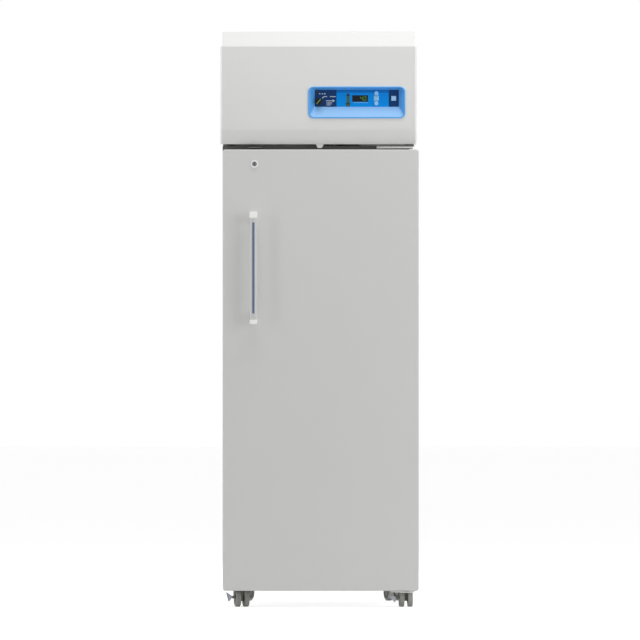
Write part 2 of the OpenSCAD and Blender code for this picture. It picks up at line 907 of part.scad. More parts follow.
module condenser_shroud() {
    shaft_reach = 8;
    strap_w = 40;
    strap_margin = 10;
    color("dimgray") {
        difference() {
            block([cond_x - cond_w / 2 - cond_side_t, shroud_y, deck_z],
                  [cond_x + cond_w / 2 + cond_side_t, shroud_y + shroud_t, cond_z + cond_h]);
            bar_y(cond_x, shroud_y - eps, shroud_y + shroud_t + eps, cond_fan_z, cond_fan_d + 2 * shroud_gap);
        }
        union() {
            bar_y(cond_x, cond_motor_y, cond_motor_y + cond_motor_l, cond_fan_z, cond_motor_d);
            bar_y(cond_x, cond_fan_y - shaft_reach, cond_motor_y + eps, cond_fan_z, fan_shaft_d);
            block([cond_x - strap_w / 2, cond_motor_y + strap_margin, deck_z],
                  [cond_x + strap_w / 2, cond_motor_y + cond_motor_l - strap_margin, cond_fan_z]);
        }
    }
}

module condenser_fan() {
    color("black")
        fan_rotor(cond_x, cond_fan_y, cond_fan_z, cond_fan_d, cond_hub_d, cond_fan_depth, 5);
}

module refrigerant_lines() {
    high_z = cond_z + cond_h - tube_pitch / 2;
    low_z = cond_z + tube_pitch / 2;
    fit_d = line_d - 1;
    joint_d = line_d + 2;
    tube_x = cond_x + cond_w / 2 + tube_end;
    drier_y = tube_y + drier_gap;
    return_y = drier_y + drier_l + 40;
    port_x = comp_x - comp_d / 2 + comp_flat + line_d;
    color("peru") {
        // Discharge line from the compressor's shell to the condenser's top tube
        union() {
            bar_y(line_x, tube_y, comp_y, high_z, line_d);
            bar_x(tube_x, line_x, tube_y, high_z, fit_d);
            bar_x(line_x, port_x, comp_y, high_z, fit_d);
            bar_z(port_x, comp_y, comp_z + comp_h, high_z, line_d);
            for (bend = [[line_x, tube_y], [line_x, comp_y], [port_x, comp_y]])
                translate([bend[0], bend[1], high_z])
                    sphere(d = joint_d);
        }
        // Liquid line with its filter drier
        union() {
            bar_x(tube_x, line_x, tube_y, low_z, fit_d);
            bar_y(line_x, tube_y, return_y, low_z, line_d);
            bar_y(line_x, drier_y, drier_y + drier_l, low_z, drier_d);
            bar_z(line_x, return_y, deck_z, low_z, fit_d);
            for (y = [tube_y, return_y])
                translate([line_x, y, low_z])
                    sphere(d = joint_d);
        }
    }
}

module electrical_box() {
    color("silver")
        block([box_right - box_w, header_front + box_front, deck_z],
              [box_right, header_front + box_front + box_d, deck_z + box_h]);
}

// Inside the cabinet
module shelf_supports() {
    slot_side = (standard_w - slot_w) / 2;
    slots = floor((standard_h - 2 * slot_pitch) / slot_pitch);
    face = inner_w / 2 - standard_t;
    color("silver")
        for (side = [-1, 1], y = standard_y)
            translate([cab_x, 0, inner_floor])
                scale_side(side)
                    union() {
                        difference() {
                            block([face, y, 20], [inner_w / 2, y + standard_w, standard_h]);
                            for (i = [0 : slots])
                                translate([face - eps, y + slot_side, slot_first + i * slot_pitch])
                                    cube([eps + 2, slot_w, slot_h]);
                        }
                        for (s = [0 : shelf_count - 1])
                            translate([face - clip_w, y + 2, shelf_first + s * shelf_pitch - clip_h])
                                cube([clip_w + 1, standard_w - 4, clip_h]);
                    }
}

module wire_shelf(z) {
    wire_pitch = (shelf_w - 2 * shelf_bar) / (shelf_wires + 1);
    wire_left = cab_x - shelf_w / 2 + shelf_bar - shelf_wire / 2;
    union() {
        for (y = [shelf_y, shelf_y + shelf_d - shelf_bar])
            block([cab_x - shelf_w / 2, y, z], [cab_x + shelf_w / 2, y + shelf_bar, z + shelf_bar]);
        for (x = [cab_x - shelf_w / 2, cab_x + shelf_w / 2 - shelf_bar])
            block([x, shelf_y, z], [x + shelf_bar, shelf_y + shelf_d, z + shelf_bar]);
        for (i = [1 : shelf_wires])
            translate([wire_left + i * wire_pitch, shelf_y, z + shelf_bar - 1])
                cube([shelf_wire, shelf_d, shelf_wire]);
    }
}

module shelves() {
    color("whitesmoke")
        for (s = [0 : shelf_count - 1])
            wire_shelf(inner_floor + shelf_first + s * shelf_pitch);
}

module evaporator_cover() {
    left = cab_x - evap_w / 2;
    right = cab_x + evap_w / 2;
    vent_margin = 20;
    vent_rows = 9;
    vent_pitch = (evap_h - vent_margin) / vent_rows;
    color("whitesmoke")
        difference() {
            block([left, evap_front, evap_low], [right, inner_back, inner_roof]);
            block([left + liner_t, evap_front + liner_t, evap_low + liner_t],
                  [right - liner_t, inner_back + eps, inner_roof + eps]);
            bar_y(evap_fan_x, evap_front - eps, evap_front + liner_t + eps, evap_fan_z, evap_fan_d + 4);
            for (i = [0 : vent_rows - 1])
                translate([0, 0, evap_low + 12 + i * vent_pitch])
                    block([cab_x + vent_margin, evap_front - eps, 0],
                          [right - vent_margin, evap_front + liner_t + eps, vent_pitch / 2]);
        }
}

module evaporator_coil() {
    coil_y = evap_front + coil_front;
    coil_w = evap_w - 2 * coil_margin;
    coil_lift = 20;
    fin_pitch = (coil_w - fin_t) / (coil_fins - 1);
    tube_reach = 8;
    shaft_front = evap_front + 8;
    strap_w = 20;
    strap_d = 10;
    color("silver") {
        union() {
            for (i = [0 : coil_fins - 1])
                translate([cab_x - coil_w / 2 + i * fin_pitch, coil_y, evap_low + coil_lift])
                    cube([fin_t, coil_d, evap_h - coil_lift]);
            for (y = [0.25, 0.75], z = [0.41, 0.73])
                bar_x(cab_x - coil_w / 2 - tube_reach, cab_x + coil_w / 2 + tube_reach,
                      coil_y + coil_d * y, evap_low + evap_h * z, line_d);
        }
        // Fan motor on its strap, hung from the liner's roof
        union() {
            bar_y(evap_fan_x, evap_motor_y, evap_motor_y + evap_motor_l, evap_fan_z, evap_motor_d);
            bar_y(evap_fan_x, shaft_front, evap_motor_y + eps, evap_fan_z, fan_shaft_d);
            block([evap_fan_x - strap_w / 2, evap_motor_y + strap_d, evap_fan_z],
                  [evap_fan_x + strap_w / 2, evap_motor_y + 2 * strap_d, inner_roof]);
        }
    }
}

module evaporator_fan() {
    color("black")
        fan_rotor(evap_fan_x, evap_front + 12, evap_fan_z, evap_fan_d, evap_hub_d, evap_fan_depth, 5);
}

module interior_light() {
    color("white")
        along_x(cab_x - light_l / 2, cab_x + light_l / 2)
            polygon([[light_front, inner_roof], [light_front + light_slope, light_z],
                     [light_front + light_d - 2 * light_slope, light_z],
                     [light_front + light_d, inner_roof]]);
}

module probe_bottle() {
    bottle_x = cab_x + inner_w / 2 - bottle_d / 2 - 10;
    bottle_y = case_y + bottle_front;
    bottle_z = inner_floor + standard_h + bottle_lift;
    shoulder_z = bottle_z + bottle_h;
    neck_z = shoulder_z + bottle_neck_h;
    color("lightcyan") {
        difference() {
            union() {
                bar_z(bottle_x, bottle_y, bottle_z, shoulder_z, bottle_d);
                bar_z(bottle_x, bottle_y, shoulder_z - eps, neck_z, bottle_neck_d);
            }
            bar_z(bottle_x, bottle_y, bottle_z + 10, neck_z + eps, probe_d + 1);
        }
        bar_z(bottle_x, bottle_y, bottle_z + 10 + seat_gap, neck_z + 14, probe_d);
        block([bottle_x - 16, bottle_y - 12, bottle_z - 3], [cab_x + inner_w / 2, bottle_y + 12, bottle_z]);
    }
}

// Door
module door_skin() {
    color("lightgray")
        difference() {
            along_y(door_y, door_back - liner_t)
                translate([door_left, door_bottom])
                    soft_rect(door_w, door_h, door_corner_r);
            along_y(door_y + sheet, door_back)
                translate([door_left + sheet, door_bottom + sheet])
                    soft_rect(door_w - 2 * sheet, door_h - 2 * sheet, door_corner_r - sheet);
            bar_z(hinge_x, hinge_y, door_bottom - eps, door_bottom + 2 * sheet, bush_d + 2 * press_gap);
            bar_z(hinge_x, hinge_y, door_top - 2 * sheet, door_top + eps, bush_d + 2 * press_gap);
            bar_y(lock_x, door_y - eps, door_y + 2 * sheet, lock_z, lock_barrel_d + 2 * press_gap);
            block([lock_x - bolt_w / 2 - seat_gap, bolt_y - bolt_t / 2 - seat_gap, door_top - 2 * sheet],
                  [lock_x + bolt_w / 2 + seat_gap, bolt_y + bolt_t / 2 + seat_gap, door_top + eps]);
        }
}

module door_foam() {
    edge = sheet + seat_gap;
    color("khaki")
        difference() {
            along_y(door_y + sheet, door_back - liner_t)
                translate([door_left + edge, door_bottom + edge])
                    soft_rect(door_w - 2 * edge, door_h - 2 * edge, door_corner_r - edge);
            bar_z(hinge_x, hinge_y, door_bottom - eps, door_bottom + bush_h + eps, bush_d + 2 * seat_gap);
            bar_z(hinge_x, hinge_y, door_top - bush_h - eps, door_top + eps, bush_d + 2 * seat_gap);
            bar_y(lock_x, door_y, lock_box_y + eps, lock_z, lock_barrel_d + 2 * seat_gap);
            block([lock_x - lock_box_w / 2 - seat_gap, lock_box_y - seat_gap, lock_box_low - seat_gap],
                  [lock_x + lock_box_w / 2 + seat_gap, lock_box_y + lock_box_d + seat_gap, door_top]);
        }
}

module door_liner() {
    panel_inset = gasket_inset + gasket_w + rib_gap;
    color("white")
        union() {
            along_y(door_back - liner_t, door_back)
                translate([door_left, door_bottom])
                    soft_rect(door_w, door_h, door_corner_r);
            ring_plate(door_x, door_w - 2 * panel_inset, door_bottom + panel_inset,
                       door_top - panel_inset, rib_w, door_back - eps, door_back + rib_t);
        }
}

module door_gasket() {
    color("whitesmoke")
        ring_plate(door_x, door_w - 2 * gasket_inset, door_bottom + gasket_inset, door_top - gasket_inset,
                   gasket_w, door_back, door_back + gasket_t);
}

module hinge_bushes() {
    bore = pin_d + 2 * run_gap;
    color("white") {
        difference() {
            union() {
                bar_z(hinge_x, hinge_y, door_bottom - eps, door_bottom + bush_h, bush_d);
                bar_z(hinge_x, hinge_y, door_bottom - bush_flange_t, door_bottom, bush_flange_d);
            }
            bar_z(hinge_x, hinge_y, door_bottom - bush_h, door_bottom + bush_h - 2, bore);
        }
        difference() {
            union() {
                bar_z(hinge_x, hinge_y, door_top - bush_h, door_top + eps, bush_d);
                bar_z(hinge_x, hinge_y, door_top, door_top + bush_flange_t, bush_flange_d);
            }
            bar_z(hinge_x, hinge_y, door_top - bush_h + 2, door_top + bush_h, bore);
        }
    }
}

module handle_grip() {
    color("gainsboro")
        difference() {
            along_y(grip_y, grip_y + grip_t)
                translate([handle_x - handle_w / 2, handle_low])
                    soft_rect(handle_w, handle_h, 4);
            block([handle_x - insert_w / 2 - press_gap, grip_y - eps, handle_low + insert_margin - press_gap],
                  [handle_x + insert_w / 2 + press_gap, grip_y + insert_depth,
                   handle_low + handle_h - insert_margin + press_gap]);
        }
}

module handle_insert() {
    color("slategray")
        block([handle_x - insert_w / 2, grip_y, handle_low + insert_margin],
              [handle_x + insert_w / 2, grip_y + insert_depth, handle_low + handle_h - insert_margin]);
}

module handle_mounts() {
    back = grip_y + grip_t;
    color("whitesmoke")
        for (end = [0, 1])
            translate([0, 0, handle_low + end * handle_h])
                mirror([0, 0, end])
                    along_x(handle_x - handle_w / 2 + 1, handle_x + handle_w / 2 - 1)
                        polygon([[back, 2], [door_y, 2],
                                 [door_y, handle_mount_h + 8], [back, handle_mount_h - 8]]);
}

module lock_housing() {
    color("silver")
        difference() {
            union() {
                bar_y(lock_x, door_y - lock_ring_t, door_y, lock_z, lock_ring_d);
                bar_y(lock_x, door_y - eps, lock_box_y + eps, lock_z, lock_barrel_d);
                block([lock_x - lock_box_w / 2, lock_box_y, lock_box_low],
                      [lock_x + lock_box_w / 2, lock_box_y + lock_box_d, lock_box_top - seat_gap]);
            }
            bar_y(lock_x, door_y - lock_ring_t - eps, lock_box_y - 2, lock_z, lock_plug_d + 2 * run_gap);
            block([lock_x - bolt_w / 2 - run_gap, bolt_y - bolt_t / 2 - run_gap, bolt_low - 2],
                  [lock_x + bolt_w / 2 + run_gap, bolt_y + bolt_t / 2 + run_gap, door_top]);
        }
}

module lock_plug() {
    color("dimgray")
        difference() {
            bar_y(lock_x, door_y - lock_ring_t - 1, lock_box_y - 3, lock_z, lock_plug_d);
            block([lock_x - 1, door_y - lock_ring_t - 2, lock_z - 4], [lock_x + 1, door_y + 14, lock_z + 4]);
        }
}

module lock_bolt() {
    color("silver")
        block([lock_x - bolt_w / 2, bolt_y - bolt_t / 2, bolt_low],
              [lock_x + bolt_w / 2, bolt_y + bolt_t / 2, bolt_top]);
}

// Fascia: a formed panel between two end caps, lifting about its upper rear edge
module fascia_outline() {
    polygon([[door_y, face_low], [door_y, face_high], [door_y + upper_run, overall_h],
             [fascia_back, overall_h], [fascia_back, header_bottom], [door_y + lower_run, header_bottom]]);
}

module fascia_hollow() {
    inner = door_y + fascia_t;
    polygon([[inner, face_low + 1], [inner, face_high - 1], [door_y + upper_run + 1, overall_h - fascia_t],
             [fascia_back + eps, overall_h - fascia_t], [fascia_back + eps, header_bottom - eps],
             [door_y + lower_run + fascia_lip, header_bottom - eps],
             [door_y + lower_run + fascia_lip, header_bottom + fascia_t],
             [door_y + lower_run + 2, header_bottom + fascia_t]]);
}

// Silhouette from the front, with rounded upper corners
module fascia_front(x_left, x_right) {
    intersection() {
        along_y(door_y - eps, case_y)
            translate([cab_x - half_face, header_bottom - 3 * fascia_corner_r])
                soft_rect(2 * half_face, overall_h - header_bottom + 3 * fascia_corner_r, fascia_corner_r);
        along_x(x_left, x_right)
            children();
    }
}

module fascia_panel() {
    tab_y = door_y + lower_run + 2;
    color("lightgray")
        union() {
            difference() {
                fascia_front(cab_x - half_case, cab_x + half_case)
                    difference() {
                        fascia_outline();
                        fascia_hollow();
                    }
                along_y(door_y - eps, door_y + 2 * fascia_t)
                    recess_mouth(bezel_wall + seat_gap);
            }
            along_y(tab_y, tab_y + fascia_t)
                polygon([[tab_x - tab_w / 2, header_bottom + 1], [tab_x - tab_w / 4, header_bottom - tab_h],
                         [tab_x + tab_w / 4, header_bottom - tab_h], [tab_x + tab_w / 2, header_bottom + 1]]);
        }
}

module fascia_end_caps() {
    color("whitesmoke")
        difference() {
            union() {
                fascia_front(cab_x - half_face, cab_x - half_case)
                    fascia_outline();
                fascia_front(cab_x + half_case, cab_x + half_face)
                    fascia_outline();
            }
            bar_x(cab_x - half_face + 1, cab_x + half_face - 1, pivot_y, pivot_z, pivot_d + 2 * run_gap);
        }
}

// Front outline of the bezel's recess, grown by wall on every side
module recess_mouth(wall) {
    inset = bezel_rim - wall;
    translate([bezel_left + inset, bezel_low + inset])
        soft_rect(bezel_w - 2 * inset, bezel_h - 2 * inset, bezel_r - inset);
}

// Sloping space inside the bezel, grown by wall on every side
module recess(wall, y_back) {
    low = bezel_low + bezel_rim - wall;
    high = bezel_low + bezel_h - bezel_rim + wall;
    left = bezel_left + bezel_rim - wall;
    right = bezel_left + bezel_w - bezel_rim + wall;
    front = door_y - bezel_proud;
    intersection() {
        along_x(left, right)
            polygon([[front, low], [recess_y, plate_low - wall], [y_back, plate_low - wall],
                     [y_back, plate_top + wall], [recess_y, plate_top + wall], [front, high]]);
        translate([0, 0, low])
            linear_extrude(high - low)
                polygon([[left, front], [plate_left - wall, recess_y], [plate_left - wall, y_back],
                         [plate_left + plate_w + wall, y_back], [plate_left + plate_w + wall, recess_y],
                         [right, front]]);
        along_y(front - eps, y_back + eps)
            recess_mouth(wall);
    }
}

module control_bezel() {
    color("dodgerblue")
        difference() {
            union() {
                along_y(door_y - bezel_proud, door_y)
                    translate([bezel_left, bezel_low])
                        soft_rect(bezel_w, bezel_h, bezel_r);
                recess(bezel_wall, plate_back);
            }
            recess(0, plate_back + eps);
            along_y(door_y - bezel_proud - eps, door_y - bezel_proud + skim)
                recess_mouth(0);
        }
}

module control_faceplate() {
    edge = 0.2;
    color("midnightblue")
        difference() {
            block([plate_left + edge, recess_y, plate_low + edge],
                  [plate_left + plate_w - edge, plate_back, plate_low + plate_h - edge]);
            bar_y(switch_x, recess_y - eps, plate_back + eps, switch_z, switch_d + 2 * press_gap);
            block([window_x - press_gap, recess_y - eps, window_low - press_gap],
                  [window_x + window_w + press_gap, plate_back + eps, window_low + window_h + press_gap]);
            for (k = [-1 : 1])
                bar_y(button_x, recess_y - eps, plate_back + eps, button_z + k * button_pitch,
                      button_d + 2 * button_gap);
            block([light_button_x - light_button_w / 2 - button_gap, recess_y - eps,
                   button_z - light_button_w / 2 - button_gap],
                  [light_button_x + light_button_w / 2 + button_gap, plate_back + eps,
                   button_z + light_button_w / 2 + button_gap]);
        }
}

module display_module() {
    color("black") {
        block([window_x, recess_y, window_low], [window_x + window_w, plate_back, window_low + window_h]);
        block([window_x - window_border, plate_back, window_low - window_border],
              [window_x + window_w + window_border, board_y, window_low + window_h + window_border]);
    }
    color("darkgreen")
        block([plate_left + board_left, board_y, plate_low + board_margin],
              [plate_left + plate_w - board_margin, board_y + board_t, plate_low + plate_h - board_margin]);
}

module key_switch() {
    color("black")
        difference() {
            union() {
                bar_y(switch_x, recess_y - switch_proud, plate_back + 24, switch_z, switch_d);
                bar_y(switch_x, plate_back, plate_back + 4, switch_z, switch_d + 4);
            }
            bar_y(switch_x, recess_y - switch_proud - eps, plate_back + 20, switch_z, core_d + 2 * run_gap);
        }
}

module switch_key() {
    front = recess_y - switch_proud;
    blade_reach = 8;
    blade_h = 8;
    bow_d = 20;
    half_t = 1.2;
    color("silver")
        translate([switch_x, 0, switch_z])
            rotate([0, key_rest, 0])
                union() {
                    bar_y(0, front - 1, plate_back + 19, 0, core_d);
                    block([-half_t, front - blade_reach, -blade_h / 2], [half_t, front, blade_h / 2]);
                    bar_x(-half_t, half_t, front - blade_reach - bow_d / 2 + 4, 0, bow_d);
                }
}

module round_button(k) {
    z = button_z + k * button_pitch;
    flange_y = plate_back + seat_gap;
    color("lightskyblue")
        union() {
            bar_y(button_x, recess_y - button_proud, plate_back + button_stem, z, button_d);
            bar_y(button_x, flange_y, flange_y + button_flange_t, z, button_d + 2);
        }
}

module up_key() { round_button(1); }
module menu_key() { round_button(0); }
module down_key() { round_button(-1); }

module light_button() {
    half = light_button_w / 2;
    rim = half + 1;
    flange_y = plate_back + seat_gap;
    color("lightskyblue")
        union() {
            block([light_button_x - half, recess_y - button_proud, button_z - half],
                  [light_button_x + half, plate_back + button_stem, button_z + half]);
            block([light_button_x - rim, flange_y, button_z - rim],
                  [light_button_x + rim, flange_y + button_flange_t, button_z + rim]);
        }
}

// Casters: a web between two wheels, a hood above them and a stem in the cabinet's socket
module caster_place(i) {
    translate([caster_x[i], caster_y[i], 0])
        rotate([0, 0, caster_yaw[i]])
            children();
}

module caster_fork(i, braked) {
    axle_z = wheel_d / 2;
    ear = pedal_w / 2 + seat_gap;
    color("dimgray")
        caster_place(i)
            union() {
                block([-web_t / 2, -caster_trail - 7, axle_z - 7], [web_t / 2, 10, hood_z + eps]);
                block([-wheel_out, -caster_trail - 14, hood_z], [wheel_out, 12, hood_z + hood_t]);
                bar_z(0, 0, hood_z, caster_top - seat_gap, stem_d + 8);
                bar_z(0, 0, hood_z, caster_top + stem_h, stem_d);
                bar_x(-wheel_out, wheel_out, -caster_trail, axle_z, axle_d);
                if (braked) {
                    block([-arm_out, -caster_trail - ear - pedal_ear_t, pedal_z - 5],
                          [-arm_in, -caster_trail + ear + pedal_ear_t, hood_z + hood_t]);
                    block([-arm_out, -caster_trail - ear - pedal_ear_t, hood_z],
                          [-wheel_out + eps, -caster_trail + ear + pedal_ear_t, hood_z + hood_t]);
                    for (y = [-caster_trail - ear - pedal_ear_t, -caster_trail + ear])
                        block([pedal_x - 3, y, pedal_z - 4], [-arm_out + eps, y + pedal_ear_t, pedal_z + 4]);
                    bar_y(pedal_x, -caster_trail - ear - 1, -caster_trail + ear + 1, pedal_z,
                          2 * pedal_pin_r);
                }
            }
}

module caster_wheels(i) {
    r = wheel_d / 2;
    bore = axle_d / 2 + run_gap;
    color("gray")
        caster_place(i)
            for (side = [0, 1])
                mirror([side, 0, 0])
                    translate([wheel_in, -caster_trail, r])
                        rotate([0, 90, 0])
                            rotate_extrude()
                                polygon([[bore, 0], [r - 3, 0], [r, 3], [r, wheel_w - 3], [r - 3, wheel_w],
                                         [r - 8, wheel_w], [r - 9, wheel_w - 2],
                                         [11, wheel_w - 2], [10, wheel_w], [bore, wheel_w]]);
}

module brake_pedal(i) {
    color("gray")
        caster_place(i)
            translate([pedal_x, -caster_trail, pedal_z])
                rotate([0, pedal_rise[i], 0])
                    difference() {
                        union() {
                            bar_y(0, -pedal_w / 2, pedal_w / 2, 0, 2 * pedal_barrel_r);
                            block([-pedal_l, -pedal_w / 2, -pedal_t / 2], [-1, pedal_w / 2, pedal_t / 2]);
                            for (y = [-pedal_w / 2, pedal_w / 2 - pedal_side_t])
                                along_y(y, y + pedal_side_t)
                                    polygon([[-pedal_l, 0], [-1, 0], [-pedal_heel, -pedal_drop]]);
                        }
                        bar_y(0, -pedal_w, pedal_w, 0, 2 * (pedal_pin_r + run_gap));
                    }
}

module caster_fork_fl() { caster_fork(0, true); }
module caster_fork_fr() { caster_fork(1, true); }
module caster_fork_rl() { caster_fork(2, false); }
module caster_fork_rr() { caster_fork(3, false); }
module caster_wheels_fl() { caster_wheels(0); }
module caster_wheels_fr() { caster_wheels(1); }
module caster_wheels_rl() { caster_wheels(2); }
module caster_wheels_rr() { caster_wheels(3); }
module brake_pedal_fl() { brake_pedal(0); }
module brake_pedal_fr() { brake_pedal(1); }

outer_case();
back_panel();
base_pan();
insulation();
liner();
breaker_frame();
lock_keeper();
upper_hinge();
lower_hinge();
caster_plates();
header_sides();
top_cover();
rear_grille();
power_inlet();
compressor();
condenser();
condenser_shroud();
condenser_fan();
refrigerant_lines();
electrical_box();
shelf_supports();
shelves();
evaporator_cover();
evaporator_coil();
evaporator_fan();
interior_light();
probe_bottle();
door_skin();
door_foam();
door_liner();
door_gasket();
hinge_bushes();
handle_grip();
handle_insert();
handle_mounts();
lock_housing();
lock_plug();
lock_bolt();
fascia_panel();
fascia_end_caps();
control_bezel();
control_faceplate();
display_module();
key_switch();
switch_key();
up_key();
menu_key();
down_key();
light_button();
caster_fork_fl();
caster_fork_fr();
caster_fork_rl();
caster_fork_rr();
caster_wheels_fl();
caster_wheels_fr();
caster_wheels_rl();
caster_wheels_rr();
brake_pedal_fl();
brake_pedal_fr();
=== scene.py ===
"""Looks of an upright laboratory refrigerator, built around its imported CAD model.

Everything is in metres in the model's own frame: X to the right, Y to the rear, Z up, the floor at z = 0.
"""

import json
import math

import bmesh
import bpy
from bpy.props import FloatProperty, FloatVectorProperty, PointerProperty
from mathutils import Matrix, Vector

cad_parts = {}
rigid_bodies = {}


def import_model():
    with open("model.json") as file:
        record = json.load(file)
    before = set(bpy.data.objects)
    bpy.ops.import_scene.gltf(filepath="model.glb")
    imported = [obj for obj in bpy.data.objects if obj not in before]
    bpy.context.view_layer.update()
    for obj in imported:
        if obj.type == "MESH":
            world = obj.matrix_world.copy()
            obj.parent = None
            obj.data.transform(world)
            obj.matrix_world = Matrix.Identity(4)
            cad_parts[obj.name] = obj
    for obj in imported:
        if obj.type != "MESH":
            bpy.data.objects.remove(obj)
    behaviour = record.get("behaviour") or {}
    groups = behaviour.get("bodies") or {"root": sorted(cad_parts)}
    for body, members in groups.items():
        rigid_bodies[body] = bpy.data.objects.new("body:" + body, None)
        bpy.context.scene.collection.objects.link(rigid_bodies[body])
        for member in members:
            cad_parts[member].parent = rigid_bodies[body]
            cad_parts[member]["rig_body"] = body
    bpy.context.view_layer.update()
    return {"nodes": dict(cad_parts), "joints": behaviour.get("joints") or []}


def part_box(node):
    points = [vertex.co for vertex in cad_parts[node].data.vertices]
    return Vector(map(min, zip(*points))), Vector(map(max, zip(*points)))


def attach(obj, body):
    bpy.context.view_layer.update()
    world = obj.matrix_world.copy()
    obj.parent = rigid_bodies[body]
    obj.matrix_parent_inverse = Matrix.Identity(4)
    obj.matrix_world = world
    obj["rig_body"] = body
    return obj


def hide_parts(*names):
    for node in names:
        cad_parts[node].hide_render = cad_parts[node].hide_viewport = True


bl_info = {
    "name": "Laboratory refrigerator looks",
    "version": (1, 0, 0),
    "blender": (4, 5, 0),
    "location": "3D View > Sidebar > Refrigerator",
    "description": "Dresses the packed laboratory refrigerator and sets its stage",
    "category": "Object",
}

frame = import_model()
NODES = frame["nodes"]
MM = 0.001
X, Y, Z = Vector((1, 0, 0)), Vector((0, 1, 0)), Vector((0, 0, 1))

WELD = 1e-6  # points closer than this are one point
TOUCH = 1e-5  # a point closer to a plane than this lies in it
SHARP_ANGLE = 35  # degrees at an edge from which it is rounded
SMOOTH_ANGLE = 32  # degrees at an edge up to which it is shaded smooth
FLAT_ANGLE = 0.8  # degrees between triangles up to which they are one flat face
PARALLEL = 0.9  # share of an edge's length along an axis from which it counts as parallel
RIB_PERIOD = 0.314  # distance between the Wave texture's bands at scale 1

# The photo is a front view at one scale: the size of a pixel, and its middle and floor in pixels.
PIXEL, PICTURE_MIDDLE, PICTURE_FLOOR = 3.108 * MM, 319.6, 608

# Sockets of the Mix node when it mixes colours.
MIX_FACTOR, MIX_FIRST, MIX_SECOND, MIX_RESULT = 0, 6, 7, 2


def srgb(red, green, blue):
    """A colour given as the 0 to 255 numbers of a picture, as Blender's linear colour."""
    def linear(value):
        value /= 255
        return value / 12.92 if value <= 0.04045 else ((value + 0.055) / 1.055) ** 2.4
    return (linear(red), linear(green), linear(blue), 1.0)


# painted shade: a dark grey for the cabinet's front flange and the lock keeper, where the door's gap is in
# shadow
DOOR_GAP_SHADE_GREY = srgb(104, 105, 98)
WHITE = (1, 1, 1, 1)
COLOUR = {"subtype": "COLOR", "size": 4, "min": 0, "max": 1}
LENGTH = {"subtype": "DISTANCE", "unit": "LENGTH"}


class RefrigeratorLooks(bpy.types.PropertyGroup):
    """Colours and edge sizes of the refrigerator."""

    door_paint: FloatVectorProperty(
        name="Door paint", description="Enamel of the door and the cabinet",
        default=srgb(214, 214, 212), **COLOUR)
    fascia_paint: FloatVectorProperty(
        name="Fascia paint", description="Enamel of the fascia in front of the machine compartment",
        default=srgb(229, 229, 227), **COLOUR)
    bezel_blue: FloatVectorProperty(
        name="Bezel blue", description="Moulded plastic around the control plate",
        default=srgb(94, 172, 240), **COLOUR)
    plate_blue: FloatVectorProperty(
        name="Plate blue", description="Middle of the control plate",
        default=srgb(0, 146, 236), **COLOUR)
    plate_navy: FloatVectorProperty(
        name="Plate navy", description="Ends of the control plate",
        default=srgb(14, 58, 108), **COLOUR)
    grip_grey: FloatVectorProperty(
        name="Grip grey", description="Moulded bar of the handle",
        default=srgb(206, 207, 206), **COLOUR)
    sheet_edge: FloatProperty(
        name="Sheet edge", description="Radius of a folded sheet's edge",
        min=0.0005, max=0.01, default=0.0035, **LENGTH)
    wheel_edge: FloatProperty(
        name="Wheel edge", description="Radius of a caster wheel's shoulders",
        min=0.001, max=0.006, default=0.0025, **LENGTH)


class StageLooks(bpy.types.PropertyGroup):
    """Camera, lamps and floor."""

    camera_distance: FloatProperty(
        name="Camera distance", description="From the door's face to the camera",
        min=3, max=40, default=24.0, **LENGTH)
    camera_height: FloatProperty(
        name="Camera height", description="Height of the camera above the floor",
        min=0.2, max=2, default=0.895, **LENGTH)
    view_width: FloatProperty(
        name="View width", description="Width that the picture takes in at the door's face",
        min=0.5, max=5, default=1.9891, **LENGTH)
    lamp_level: FloatProperty(
        name="Lamp level", description="Multiplies the power of all the lamps",
        min=0.1, max=4, default=1.0)


# --- materials ---


def math_method(operation, reflected=False):
    """A method of Socket that adds a Math node for an operator."""
    def method(self, other):
        values = (other, self) if reflected else (self, other)
        return self.finish.node("ShaderNodeMath", {"operation": operation}, dict(enumerate(values)))
    return method


class Socket:
    """A shader socket; an expression on it adds its Math nodes."""

    def __init__(self, finish, socket):
        self.finish = finish
        self.socket = socket

    __add__ = __radd__ = math_method("ADD")
    __sub__ = math_method("SUBTRACT")
    __rsub__ = math_method("SUBTRACT", reflected=True)
    __mul__ = __rmul__ = math_method("MULTIPLY")
    __gt__ = math_method("GREATER_THAN")
    __lt__ = math_method("LESS_THAN")


